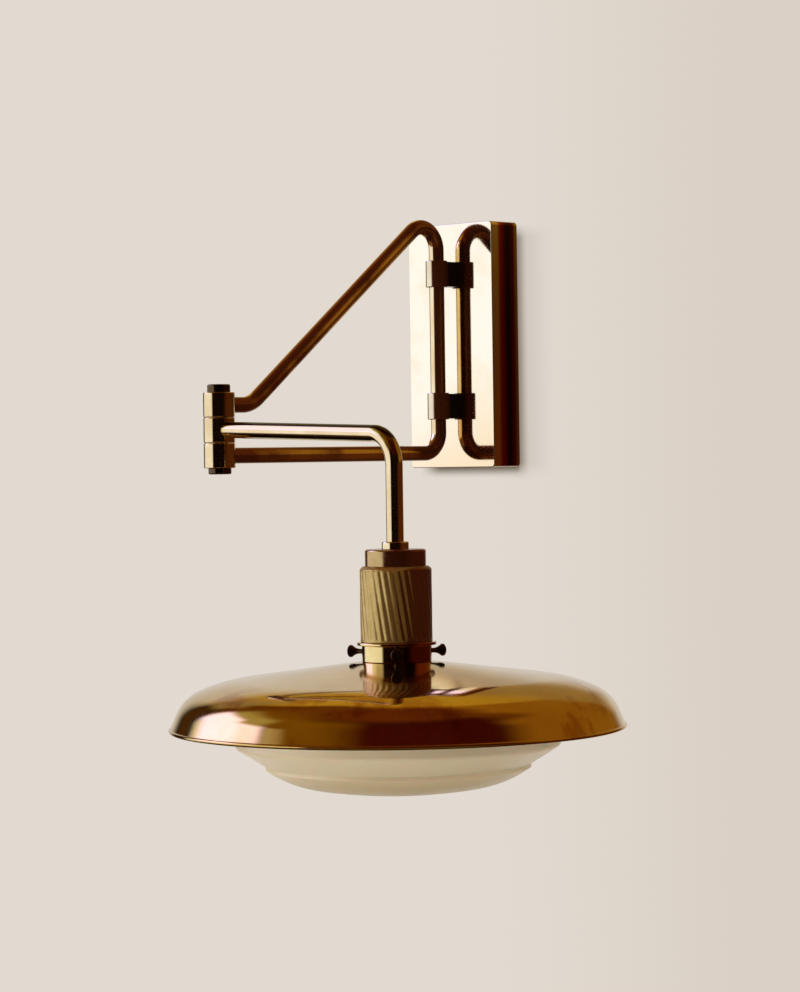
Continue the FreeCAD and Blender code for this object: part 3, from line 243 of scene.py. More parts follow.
def eased(corners: Sequence[Corner], closed: bool = True, steps: int = 6) -> list[Point]:
    """Round the corners of a section.

    Args:
        corners: Each corner as (radius from the axis, height, rounding).
        closed: Whether the last corner joins the first.
        steps: Pieces in each rounded corner.

    Returns:
        The section's points.
    """
    points: list[Point] = []
    count = len(corners)
    for index, (x, y, rounding) in enumerate(corners):
        inner = closed or 0 < index < count - 1
        if rounding <= 0 or not inner:
            points.append((x, y))
            continue
        spot = Vector((x, y))
        back = Vector(corners[index - 1][:2]) - spot
        onward = Vector(corners[(index + 1) % count][:2]) - spot
        half = back.angle(onward) / 2
        setback = min(rounding / math.tan(half), EDGE_SHARE * min(back.length, onward.length))
        radius = setback * math.tan(half)
        back.normalize()
        onward.normalize()
        centre = spot + (back + onward).normalized() * (radius / math.sin(half))
        first = spot + back * setback - centre
        sweep = first.angle_signed(spot + onward * setback - centre)
        for step in range(steps + 1):
            ray = first.copy()
            ray.rotate(Matrix.Rotation(-sweep * step / steps, 2))
            points.append((centre.x + ray.x, centre.y + ray.y))
    return points


def ring_section(bore: float, radius: float, low: float, high: float,
                 roundings: Sequence[float]) -> list[Point]:
    """Return the section of a plain ring.

    Args:
        bore: Inner radius.
        radius: Outer radius.
        low: Height of one end.
        high: Height of the other end.
        roundings: Rounding of each corner, from the low inner one round by the outside.

    Returns:
        The section's points.
    """
    corners = ((bore, low), (radius, low), (radius, high), (bore, high))
    return eased([(*corner, rounding) for corner, rounding in zip(corners, roundings)])


def arc(centre: Point, radius: float, start: float, end: float, steps: int) -> list[Point]:
    """Return points on an arc between two angles given in radians."""
    angles = [start + (end - start) * step / steps for step in range(steps + 1)]
    return [(centre[0] + radius * math.cos(a), centre[1] + radius * math.sin(a)) for a in angles]


def round_angles(count: int) -> list[float]:
    """Return that many even steps round a circle, in radians."""
    return [FULL_TURN * step / count for step in range(count)]


def turned(section: Sequence[Point], segments: int = 128) -> Shape:
    """Turn a closed section about the upright axis.

    Args:
        section: Points as (radius, height) in millimetres, in order.
        segments: Facets round the axis.

    Returns:
        The turned shape.
    """
    rings = []
    for radius, height in section:
        count = segments if radius > ON_AXIS else 1
        rings.append([Vector((radius * math.cos(a), radius * math.sin(a), height))
                      for a in round_angles(count)])
    return Shape.skinned(rings, closed=True)


def lathe(name: str, section: Sequence[Point], centre: Point = (0.0, 0.0), segments: int = 128) -> Piece:
    """Turn a closed section into a piece that stands on a plan position."""
    return new_piece(name, turned(section, segments), centre)


def bent_path(corners: Sequence[Vector], bends: Sequence[float], steps: int = 28) -> list[Vector]:
    """Follow corner points with round bends.

    Args:
        corners: The path's ends and virtual corners in millimetres.
        bends: Bend radius of each inner corner.
        steps: Pieces in each bend.

    Returns:
        Points along the path.
    """
    path = [corners[0]]
    for index, bend in enumerate(bends, start=1):
        corner = corners[index]
        back = (corners[index - 1] - corner).normalized()
        onward = (corners[index + 1] - corner).normalized()
        half = back.angle(onward) / 2
        start = corner + back * (bend / math.tan(half))
        centre = corner + (back + onward).normalized() * (bend / math.sin(half))
        ray = start - centre
        axis = back.cross(onward)
        for step in range(steps + 1):
            turn = Matrix.Rotation(-(math.pi - 2 * half) * step / steps, 3, axis)
            path.append(centre + turn @ ray)
    path.append(corners[-1])
    return path


def tube(path: Sequence[Vector], radius: float, side: Vector, segments: int = 56) -> Shape:
    """Sweep a round tube along a flat path.

    Args:
        path: Points in millimetres, all in one plane.
        radius: The tube's outer radius.
        side: Direction square to that plane.
        segments: Facets round the tube.

    Returns:
        The tube, closed at both ends.
    """
    rings = []
    for index, spot in enumerate(path):
        before = path[max(index - 1, 0)]
        after = path[min(index + 1, len(path) - 1)]
        across = (after - before).normalized().cross(side).normalized()
        rings.append([spot + (across * math.cos(a) + side * math.sin(a)) * radius
                      for a in round_angles(segments)])
    return Shape.skinned(rings)


def rounded_loop(half_width: float, half_height: float, radius: float, steps: int = 8) -> list[Point]:
    """Go round a centred rectangle with round corners.

    Args:
        half_width: Half the rectangle's width.
        half_height: Half its height.
        radius: Radius of its corners.
        steps: Pieces in each corner.

    Returns:
        Points of the loop, in order.
    """
    loop: list[Point] = []
    for quarter, (side, up) in enumerate(((1, 1), (-1, 1), (-1, -1), (1, -1))):
        centre = (side * (half_width - radius), up * (half_height - radius))
        loop += arc(centre, radius, quarter * QUARTER_TURN, (quarter + 1) * QUARTER_TURN, steps)
    return loop


# Finishes

def dimmed(colour: Colour, share: float) -> Colour:
    """Return a share of a colour's strength."""
    return tuple(part * share for part in colour)


class Shader:
    """Lays out the nodes of one material or of the world."""

    def __init__(self, owner: bpy.types.ID) -> None:
        """Start with no nodes.

        Args:
            owner: The material or world that holds them.
        """
        owner.use_nodes = True
        self.owner = owner
        self.tree = owner.node_tree
        self.tree.nodes.clear()

    @classmethod
    def named(cls, name: str) -> "Shader":
        """Start an empty material of that name."""
        return cls(bpy.data.materials.new(name))

    def add(self, kind: str, inputs: Optional[dict] = None, **settings: object) -> bpy.types.Node:
        """Add a node.

        Args:
            kind: Blender's name of the node type.
            inputs: Values or sockets for its named inputs.
            settings: Properties of the node itself.

        Returns:
            The node.
        """
        node = self.tree.nodes.new(kind)
        for key, value in settings.items():
            setattr(node, key, value)
        for key, value in (inputs or {}).items():
            self.feed(node.inputs[key], value)
        return node

    def feed(self, socket: Socket, value: object) -> None:
        """Link a socket to another, or set its value.

        Args:
            socket: The input to fill.
            value: Another node's output, or a number, colour or vector.
        """
        if isinstance(value, Socket):
            self.tree.links.new(value, socket)
        elif isinstance(value, tuple) and len(value) == 3 and socket.type == "RGBA":
            socket.default_value = (*value, 1.0)
        else:
            socket.default_value = value

    def coordinate(self, source: Source) -> Socket:
        """Return a coordinate of the surface or of the room, in metres where it is a place."""
        return self.add("ShaderNodeTexCoord").outputs[source.value]

    def noise(self, scale: float, detail: float = 4.0, roughness: float = 0.55,
              stretch: Optional[Axis] = None) -> Socket:
        """Lay out clouds.

        Args:
            scale: Features are about 1 / scale metres wide.
            detail: Layers of finer clouds.
            roughness: Strength of the finer layers.
            stretch: How much closer the features lie along each axis.

        Returns:
            A cloudy value from 0 to 1.
        """
        spot = self.coordinate(Source.PLACE)
        if stretch is not None:
            spot = self.add("ShaderNodeMapping", {"Vector": spot, "Scale": stretch}).outputs[0]
        node = self.add("ShaderNodeTexNoise", {"Vector": spot, "Scale": scale, "Detail": detail,
                                               "Roughness": roughness})
        return node.outputs["Fac"]

    def band(self, value: Socket, low: float, high: float, start: float = 0.0, end: float = 1.0,
             ease: Ease = Ease.STRAIGHT) -> Socket:
        """Map a value from low..high to start..end, held at the ends."""
        inputs = {"Value": value, "From Min": low, "From Max": high, "To Min": start, "To Max": end}
        return self.add("ShaderNodeMapRange", inputs, interpolation_type=ease.value).outputs["Result"]

    def soft(self, value: Socket, low: float, high: float, start: float = 0.0, end: float = 1.0) -> Socket:
        """Ease a value from start to end between low and high."""
        return self.band(value, low, high, start, end, Ease.SOFT)

    def past(self, value: Socket, line: float, fade: Range, start: float = 0.0, end: float = 1.0) -> Socket:
        """Ease a value from start to end across a line, over a fade measured from it."""
        return self.soft(value, line + fade[0], line + fade[1], start, end)

    def calculate(self, operation: str, first: Value, second: Value) -> Socket:
        """Work out two values by one of Blender's named operations."""
        return self.add("ShaderNodeMath", {0: first, 1: second}, operation=operation).outputs[0]

    def product(self, first: Value, *others: Value) -> Value:
        """Multiply values.

        Args:
            first: The first value.
            others: Those to multiply it by.

        Returns:
            Their product.
        """
        for other in others:
            first = self.calculate("MULTIPLY", first, other)
        return first

    def along(self, vector: Socket, axis: Sequence[float]) -> Socket:
        """Return how far a vector reaches along an axis."""
        node = self.add("ShaderNodeVectorMath", {0: vector, 1: tuple(axis)}, operation="DOT_PRODUCT")
        return node.outputs["Value"]

    def blend(self, share: Socket, first: Paint, second: Paint) -> Socket:
        """Mix two colours.

        Args:
            share: How much of the second, from 0 to 1.
            first: The colour at 0.
            second: The colour at 1.

        Returns:
            The mixed colour.
        """
        node = self.add("ShaderNodeMix", data_type="RGBA")
        # The sockets for colours are found by number, because their names repeat
        for index, value in ((0, share), (6, first), (7, second)):
            self.feed(node.inputs[index], value)
        return node.outputs[2]

    def bump(self, height: Socket, depth: float, normal: Optional[Socket] = None) -> Socket:
        """Turn a height into relief.

        Args:
            height: A value from 0 to 1.
            depth: The relief's depth in metres.
            normal: Relief that lies below it.

        Returns:
            The surface's new normal.
        """
        node = self.add("ShaderNodeBump", {"Height": height, "Distance": depth, "Strength": 1.0})
        if normal is not None:
            self.feed(node.inputs["Normal"], normal)
        return node.outputs["Normal"]

    def layer(self, share: Value, below: Socket, above: Socket) -> Socket:
        """Lay one surface over another by a share from 0 to 1."""
        return self.add("ShaderNodeMixShader", {0: share, 1: below, 2: above}).outputs[0]

    def finish(self, surface: Socket) -> Material:
        """Send a shader to the material's surface and return the material."""
        self.add("ShaderNodeOutputMaterial", {"Surface": surface})
        return self.owner


@dataclass(frozen=True)
class StainAndPaintedLight:
    """A colour that deepens along an axis, by place in metres or by the way the surface faces. It lays real
    stains on the shade, and painted shade, painted highlights and painted reflections on most other
    finishes.
    """

    colour: Colour
    axis: Axis
    reach: Range
    by_facing: bool = False
    gate: Optional[Axis] = None
    gate_reach: Range = (0.4, 0.8)
    patch_scale: Optional[float] = None
    patch_reach: Range = (0.42, 0.54)

    def over(self, shader: Shader, colour: Paint) -> Socket:
        """Lay this colour over another.

        Args:
            shader: The material's nodes.
            colour: The colour below.

        Returns:
            The colour with this one laid over it.
        """
        source = Source.FACING if self.by_facing else Source.PLACE
        share = shader.soft(shader.along(shader.coordinate(source), self.axis), *self.reach)
        if self.gate is not None:
            facing = shader.along(shader.coordinate(Source.FACING), self.gate)
            share = shader.product(share, shader.soft(facing, *self.gate_reach))
        if self.patch_scale is not None:
            patches = shader.noise(self.patch_scale, roughness=0.6)
            share = shader.product(share, shader.soft(patches, *self.patch_reach))
        return shader.blend(share, colour, self.colour)


@dataclass(frozen=True)
class Metal:
    """A metal finish: polish broken by tarnish clouds, specks and tool marks.

    A ratio is how much finer a pattern is than the tarnish clouds.
    """

    name: str
    bright: Colour
    tarnish: Colour
    speck: Colour
    polish: Range
    cloud_scale: float = 45.0
    cloud_reach: Range = (0.36, 0.66)
    speck_scale: float = 520.0
    speck_reach: Range = (0.66, 0.78)
    smear_ratio: float = 2.6
    smear_stretch: Axis = (1.0, 1.0, 0.45)
    smear_reach: Range = (0.3, 0.72)
    grain: Grain = Grain.NONE
    grain_scale: float = 900.0
    grain_depth: float = 2.0e-6
    line_stretch: Axis = (1.0, 1.0, 0.03)
    ripple_scale: float = 60.0
    ripple_depth: float = 4.0e-6
    stains_and_painted_light: tuple[StainAndPaintedLight, ...] = ()
    lacquer: Optional[Colour] = None
    lacquer_share: float = 0.2
    streak_ratio: float = 7.0
    streak_reach: Range = (0.35, 0.65)
    streak_dimming: float = 0.55

    def relief(self, shader: Shader) -> Socket:
        """Lay out ripples and tool marks.

        Args:
            shader: The material's nodes.

        Returns:
            The surface's normal.
        """
        relief = shader.bump(shader.noise(self.ripple_scale, detail=2.0), self.ripple_depth)
        if self.grain is Grain.SPUN:
            rings = shader.add("ShaderNodeTexWave", {
                "Vector": shader.coordinate(Source.PLACE), "Scale": self.grain_scale,
                "Distortion": 1.5, "Detail": 3.0, "Detail Scale": 2.0,
            }, wave_type="RINGS", rings_direction="Z").outputs["Fac"]
            relief = shader.bump(rings, self.grain_depth, relief)
        elif self.grain is Grain.DRAWN:
            lines = shader.noise(self.grain_scale, detail=3.0, roughness=0.6, stretch=self.line_stretch)
            relief = shader.bump(lines, self.grain_depth, relief)
        return relief

    def film(self, shader: Shader, relief: Socket) -> Socket:
        """Lay out the browned lacquer that lies on the metal.

        Args:
            shader: The material's nodes.
            relief: The surface's normal.

        Returns:
            The film's surface.
        """
        streaks = shader.noise(self.cloud_scale * self.streak_ratio, detail=5.0, roughness=0.7)
        stain = shader.blend(shader.band(streaks, *self.streak_reach), self.lacquer,
                             dimmed(self.lacquer, self.streak_dimming))
        # The film takes the finish's painted shade as well, except what lies in patches
        for overlay in self.stains_and_painted_light:
            if overlay.patch_scale is None:
                stain = overlay.over(shader, stain)
        return shader.add("ShaderNodeBsdfDiffuse", {"Color": stain, "Normal": relief}).outputs[0]

    def build(self) -> Material:
        """Build the material.

        Returns:
            A metallic material whose colour, gloss and relief all vary.
        """
        shader = Shader.named(self.name)
        clouds = shader.noise(self.cloud_scale, detail=6.0, roughness=0.6)
        specks = shader.noise(self.speck_scale, detail=3.0)
        aged = shader.blend(shader.band(clouds, *self.cloud_reach), self.tarnish, self.bright)
        colour = shader.blend(shader.band(specks, *self.speck_reach), aged, self.speck)
        for overlay in self.stains_and_painted_light:
            colour = overlay.over(shader, colour)
        smears = shader.noise(self.cloud_scale * self.smear_ratio, detail=5.0, roughness=0.65,
                              stretch=self.smear_stretch)
        relief = self.relief(shader)
        surface = shader.add("ShaderNodeBsdfPrincipled", {
            "Base Color": colour, "Metallic": 1.0, "Normal": relief,
            "Roughness": shader.band(smears, *self.smear_reach, *self.polish),
        }).outputs["BSDF"]
        if self.lacquer is not None:
            surface = shader.layer(self.lacquer_share, surface, self.film(shader, relief))
        return shader.finish(surface)


@dataclass(frozen=True)
class Coat:
    """A finish that isn't metal: a coloured body with mottling, gloss and fine relief."""

    name: str
    colour: Colour
    shade: Colour
    gloss: Range
    mottle_scale: float = 60.0
    mottle_reach: Range = (0.3, 0.7)
    gloss_ratio: float = 3.0
    relief_scale: float = 700.0
    relief_depth: float = 1.0e-5
    subsurface: float = 0.0
    subsurface_reach: float = 0.004
    coat: float = 0.0
    stains_and_painted_light: tuple[StainAndPaintedLight, ...] = ()

    def build(self) -> Material:
        """Build the material.

        Returns:
            A material whose colour and gloss vary over the surface.
        """
        shader = Shader.named(self.name)
        mottle = shader.noise(self.mottle_scale, detail=5.0)
        colour = shader.blend(shader.band(mottle, *self.mottle_reach), self.shade, self.colour)
        for overlay in self.stains_and_painted_light:
            colour = overlay.over(shader, colour)
        smears = shader.noise(self.mottle_scale * self.gloss_ratio)
        surface = shader.add("ShaderNodeBsdfPrincipled", {
            "Base Color": colour, "Roughness": shader.band(smears, *self.mottle_reach, *self.gloss),
            "Normal": shader.bump(shader.noise(self.relief_scale, detail=3.0), self.relief_depth),
            "Subsurface Weight": self.subsurface, "Subsurface Scale": self.subsurface_reach,
            "Coat Weight": self.coat,
        })
        return shader.finish(surface.outputs["BSDF"])


Finish = Union[Metal, Coat]


class Finishes:
    """All finishes of the lamp, built once each."""

    # Directions that an overlay deepens towards, or that the surface has to face
    WALLWARD = (0.0, 1.0, 0.0)
    RIGHT = (1.0, 0.0, 0.0)
    LEFT = (-1.0, 0.0, 0.0)
    DOWN = (0.0, 0.0, -1.0)
    UP = (0.0, 0.0, 1.0)
    PICTURE_RIGHT = (0.737, 0.676, 0.0)

    COVER = Metal("polished_cover_brass", (0.92, 0.81, 0.60), (0.86, 0.72, 0.46), (0.70, 0.54, 0.30),
                  (0.03, 0.08), cloud_scale=26.0, cloud_reach=(0.28, 0.50), ripple_scale=22.0,
                  ripple_depth=1.2e-5, stains_and_painted_light=(
                      # The front turns a deeper gold towards its lower right
                      StainAndPaintedLight((0.88, 0.67, 0.40), (0.45, 0.0, -0.90), (0.015, 0.085)),
                      # Painted shade: the left side darkens towards the wall
                      StainAndPaintedLight((0.22, 0.10, 0.03), WALLWARD, (-0.022, -0.008), gate=LEFT),
                      # Painted reflection on the right side: from the front edge back to the wall it runs
                      # from gold through dark red to black, then dark red and gold again, standing in for
                      # the wall and the cover's shadow on it mirrored there
                      StainAndPaintedLight((0.49, 0.06, 0.010), WALLWARD, (-0.0200, -0.0165), gate=RIGHT),
                      StainAndPaintedLight((0.33, 0.012, 0.006), WALLWARD, (-0.0165, -0.0135), gate=RIGHT),
                      StainAndPaintedLight((0.050, 0.030, 0.020), WALLWARD, (-0.0135, -0.0110), gate=RIGHT),
                      StainAndPaintedLight((0.22, 0.012, 0.006), WALLWARD, (-0.0080, -0.0050), gate=RIGHT),
                      StainAndPaintedLight((0.66, 0.50, 0.30), WALLWARD, (-0.0045, -0.0010), gate=RIGHT),
                  ))
    BRACKET = Metal("bracket_brass_painted_shade", (0.95, 0.84, 0.57), (0.84, 0.70, 0.44), (0.40, 0.26, 0.12),
                    (0.07, 0.15), cloud_scale=90.0, lacquer=(0.16, 0.010, 0.003), lacquer_share=0.22,
                    stains_and_painted_light=(
                        # Painted shade: faces that turn to the right are darker
                        StainAndPaintedLight((0.15, 0.036, 0.012), RIGHT, (0.15, 0.40), by_facing=True),
                        # Painted shade: the neck, between the sleeve and the cover, turns nearly black
                        StainAndPaintedLight((0.035, 0.014, 0.005), WALLWARD, (-0.0348, -0.0312)),
                    ))
    ARM_TUBE = Metal("aged_tube_brass_painted_light", (0.94, 0.80, 0.48), (0.82, 0.63, 0.33), (0.40, 0.24, 0.09),
                     (0.06, 0.14), cloud_scale=48.0, grain=Grain.DRAWN, grain_depth=6.0e-7,
                     lacquer=(0.36, 0.060, 0.008), lacquer_share=0.16, stains_and_painted_light=(
                         # Painted shade: faces that turn to the right are dark
                         StainAndPaintedLight((0.18, 0.048, 0.015), RIGHT, (0.20, 0.42), by_facing=True),
                         # Painted highlight: gold patches on faces that turn furthest to the right
                         StainAndPaintedLight((0.84, 0.62, 0.26), RIGHT, (0.62, 0.88), by_facing=True,
                                patch_scale=15.0, patch_reach=(0.40, 0.60)),
                     ))
    TUBE = Metal("drawn_tube_brass", (0.82, 0.64, 0.36), (0.72, 0.53, 0.27), (0.46, 0.29, 0.12),
                 (0.05, 0.13), cloud_scale=60.0, grain=Grain.DRAWN, grain_depth=6.0e-7, stains_and_painted_light=(
                     # Painted shade over the upper side: the first overlay warms and dims the highlight
                     # there, the second makes the very top dark
                     StainAndPaintedLight((0.50, 0.40, 0.12), UP, (0.10, 0.28), by_facing=True),
                     StainAndPaintedLight((0.05, 0.032, 0.013), UP, (0.56, 0.70), by_facing=True),
                 ))
    KNUCKLE = Metal("turned_hinge_brass", (0.82, 0.66, 0.37), (0.70, 0.52, 0.26), (0.44, 0.28, 0.11),
                    (0.05, 0.12), cloud_scale=70.0, grain=Grain.SPUN, grain_scale=1400.0,
                    grain_depth=4.0e-7)
    GALLERY = Metal("turned_gallery_brass", (0.82, 0.64, 0.28), (0.70, 0.51, 0.20), (0.44, 0.28, 0.10),
                    (0.05, 0.12), cloud_scale=70.0, grain=Grain.SPUN, grain_scale=1400.0,
                    grain_depth=4.0e-7, stains_and_painted_light=(
                        # Painted shade: faces that turn to the right of the picture are darker
                        StainAndPaintedLight((0.30, 0.080, 0.036), PICTURE_RIGHT, (0.10, 0.34), by_facing=True),
                    ))
    PIVOT = Metal("darkened_pivot_brass", (0.15, 0.10, 0.045), (0.10, 0.06, 0.025), (0.05, 0.03, 0.012),
                  (0.12, 0.22), cloud_scale=120.0)
    HOLDER = Metal("satin_fluted_brass", (0.60, 0.46, 0.17), (0.47, 0.34, 0.11), (0.27, 0.17, 0.05),
                   (0.28, 0.40), cloud_scale=80.0, lacquer=(0.60, 0.26, 0.05), lacquer_share=0.18,
                   # Painted shade: faces that turn to the right of the picture are darker
                   stains_and_painted_light=(StainAndPaintedLight((0.16, 0.044, 0.014), PICTURE_RIGHT, (0.12, 0.36), by_facing=True),))
    CAP = Metal("satin_cap_brass", (0.56, 0.39, 0.16), (0.45, 0.30, 0.11), (0.25, 0.15, 0.05),
                (0.12, 0.22), cloud_scale=80.0, lacquer=(0.20, 0.010, 0.003), lacquer_share=0.12,
                # Painted shade: faces that turn to the right of the picture are darker
                stains_and_painted_light=(StainAndPaintedLight((0.19, 0.048, 0.016), PICTURE_RIGHT, (-0.15, 0.15), by_facing=True),))
    SHADE = Metal("spun_shade_brass", (0.70, 0.46, 0.14), (0.58, 0.36, 0.09), (0.34, 0.18, 0.05),
                  (0.06, 0.13), cloud_scale=24.0, speck_scale=420.0, speck_reach=(0.70, 0.82),
                  grain=Grain.SPUN, grain_scale=260.0, grain_depth=6.0e-7, ripple_scale=14.0,
                  ripple_depth=3.0e-5, stains_and_painted_light=(
                      StainAndPaintedLight((0.46, 0.22, 0.05), DOWN, (0.195, 0.205), patch_scale=26.0,
                             patch_reach=(0.55, 0.66)),
                  ))
    SCREW = Metal("blackened_screw_brass", (0.10, 0.055, 0.025), (0.05, 0.026, 0.013), (0.03, 0.02, 0.01),
                  (0.22, 0.38), cloud_scale=160.0)
    INNER = Metal("plain_inner_brass", (0.78, 0.60, 0.30), (0.60, 0.42, 0.18), (0.36, 0.22, 0.09),
                  (0.20, 0.35), cloud_scale=110.0)
    STEEL = Metal("zinc_plated_steel", (0.66, 0.67, 0.66), (0.48, 0.49, 0.50), (0.30, 0.29, 0.27),
                  (0.26, 0.44), cloud_scale=120.0, grain=Grain.DRAWN)
    BULB_CAP = Metal("rolled_bulb_cap", (0.80, 0.79, 0.76), (0.62, 0.61, 0.59), (0.40, 0.38, 0.34),
                     (0.18, 0.32), cloud_scale=150.0)
    RUBBER = Coat("grommet_rubber", (0.040, 0.038, 0.036), (0.022, 0.021, 0.020), (0.55, 0.75))
    BLOCK = Coat("block_plastic", (0.82, 0.80, 0.74), (0.74, 0.71, 0.64), (0.42, 0.58))
    LEAD = Coat("lead_jacket", (0.66, 0.63, 0.56), (0.56, 0.53, 0.46), (0.45, 0.62))
    PORCELAIN = Coat("glazed_porcelain", (0.86, 0.84, 0.78), (0.78, 0.75, 0.68), (0.08, 0.18), coat=0.6)
    BOWL = Coat("frosted_bowl_glass", (0.91, 0.77, 0.57), (0.87, 0.72, 0.52), (0.30, 0.44),
                mottle_scale=24.0, relief_depth=2.0e-6, subsurface=0.5, subsurface_reach=0.008,
                # Painted shade: the bowl darkens towards its bottom, which faces the floor
                coat=0.1, stains_and_painted_light=(StainAndPaintedLight((0.55, 0.45, 0.24), DOWN, (0.238, 0.266)),))
    BULB = Coat("opal_bulb_glass", (0.90, 0.88, 0.80), (0.86, 0.83, 0.75), (0.14, 0.24),
                subsurface=0.3, coat=0.4)

    _built: dict[str, Material] = {}

    @classmethod
    def get(cls, finish: Finish) -> Material:
        """Return the material of a finish, built at its first use.

        Args:
            finish: The finish to wear.

        Returns:
            Its material.
        """
        if finish.name not in cls._built:
            cls._built[finish.name] = finish.build()
        return cls._built[finish.name]


# Sub-assemblies

class Assembly:
    """A group of pieces that are built and dressed together."""

    nodes: dict[str, Finish] = {}

    def fit(self, piece: Piece, body: str, slot: str, finish: Finish, *replaced: str) -> Piece:
        """Give a piece its finish, its body and the CAD nodes that it stands for.

        Args:
            piece: The object to fit.
            body: The frame's body that it rides on.
            slot: Name of a material slot; not used.
            finish: The finish to wear.
            replaced: CAD nodes that it stands for.

        Returns:
            The same object.
        """
        piece.data.materials.clear()
        piece.data.materials.append(Finishes.get(finish))
        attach(piece, body)
        if replaced:
            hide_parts(*replaced)
        LOG.info("fitted %s on %s", piece.name, body)
        return piece

    def build(self) -> None:
        """Build the sub-assembly's meshes."""

    def dress(self) -> None:
        """Give the CAD nodes that stay in view their finishes."""
        for name, finish in self.nodes.items():
            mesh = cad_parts[name].data
            mesh.materials.clear()
            mesh.materials.append(Finishes.get(finish))
            LOG.info("dressed %s", name)


@dataclass
class WallBox(Assembly):
    """The polished cover with what it hides and the two brackets on its face."""

    width: float = 75.0
    height: float = 161.0
    depth: float = 25.0
    wall: float = 1.2
    corner: float = 2.5
    least_corner: float = 0.2
    edge: float = 0.5
    edge_steps: int = 10
    sleeve_radius: float = 7.2
    sleeve_bore: float = 5.03
    sleeve_height: float = 17.6
    sleeve_edge: float = 0.7
    sleeve_lip: float = 0.3
    neck_width: float = 11.0
    neck_height: float = 16.4
    neck_corner: float = 0.8
    neck_end: float = 4.4
    stud_radius: float = 5.0
    stud_bore: float = 3.4
    stud_start: float = -30.0
    stud_end: float = -15.3
    stud_edge: float = 0.6
    stud_segments: int = 64
    upper_level: float = 47.0
    lower_level: float = -40.0

    nodes = {
        "wall_plate": Finishes.STEEL, "cover_screws": Finishes.SCREW, "cable_grommet": Finishes.RUBBER,
        "terminal_block": Finishes.BLOCK, "terminal_barrels": Finishes.INNER,
        "terminal_screws": Finishes.STEEL, "earth_screw": Finishes.INNER,
        "bracket_washers": Finishes.STEEL, "bracket_nuts": Finishes.STEEL,
        "bracket_grub_screws": Finishes.STEEL, "wall_lead": Finishes.LEAD,
    }

    def cover(self) -> Piece:
        """Build the cover as an open box with rounded front edges.

        Returns:
            The cover, open towards the wall.
        """
        # From the inside of the face, round the open back, to the outside of the face
        rows = [(self.wall, self.depth - self.wall), (self.wall, 0.0), (0.0, 0.0)]
        rows += arc((self.edge, self.depth - self.edge), self.edge, math.pi, QUARTER_TURN, self.edge_steps)
        rings = []
        for inset, forward in rows:
            loop = rounded_loop(self.width / 2 - inset, self.height / 2 - inset,
                                max(self.corner - inset, self.least_corner))
            rings.append([Vector((x, -forward, z)) for x, z in loop])
        return new_piece("cover_shell", Shape.skinned(rings), crease=50.0)

    def bracket(self, name: str, level: float, bore: float) -> Piece:
        """Build one bracket at a height: sleeve, neck and the stud behind them.

        Args:
            name: The piece's name.
            level: Height of its middle.
            bore: Radius of the lead hole in the stud, or 0.

        Returns:
            The bracket.
        """
        half = self.sleeve_height / 2
        sleeve = turned(ring_section(
            self.sleeve_bore, self.sleeve_radius, level - half, level + half,
            (self.sleeve_lip, self.sleeve_edge, self.sleeve_edge, self.sleeve_lip),
        )).moved(Matrix.Translation((0, LAYOUT.pivot_line, 0)))
        outline = rounded_loop(self.neck_width / 2, self.neck_height / 2, self.neck_corner)
        neck = Shape.skinned([[Vector((x, along, z + level)) for x, z in outline]
                              for along in (-self.depth, LAYOUT.pivot_line + self.neck_end)])
        stud = turned(ring_section(bore, self.stud_radius, self.stud_start, self.stud_end,
                                   (0.0, 0.0, self.stud_edge, 0.0)), self.stud_segments)
        stud = stud.moved(Matrix.Translation((0, 0, level)) @ Matrix.Rotation(-QUARTER_TURN, 4, "X"))
        return new_piece(name, sleeve.joined(neck).joined(stud))

    def build(self) -> None:
        """Build the cover and its two brackets."""
        body = Body.WALL.value
        self.fit(self.cover(), body, "cover_brass", Finishes.COVER, "wall_cover")
        upper = self.bracket("upper_pivot_bracket", self.upper_level, 0.0)
        self.fit(upper, body, "bracket_brass", Finishes.BRACKET, "upper_bracket")
        lower = self.bracket("lower_pivot_bracket", self.lower_level, self.stud_bore)
        self.fit(lower, body, "bracket_brass", Finishes.BRACKET, "lower_bracket")


@dataclass(frozen=True)
class HingeBarrel:
    """The turned barrels of the elbow hinge, which share one size."""

    radius: float = 9.8
    height: float = 15.2
    edge: float = 0.55

    def turn(self, name: str, level: float, bore: float) -> Piece:
        """Turn one barrel.

        Args:
            name: The piece's name.
            level: Height of its middle.
            bore: Radius of its hole.

        Returns:
            The barrel, on the elbow's axis.
        """
        half = self.height / 2
        roundings = (0.0, self.edge, self.edge, 0.0)
        return lathe(name, ring_section(bore, self.radius, level - half, level + half, roundings),
                     LAYOUT.elbow)


BARREL = HingeBarrel()


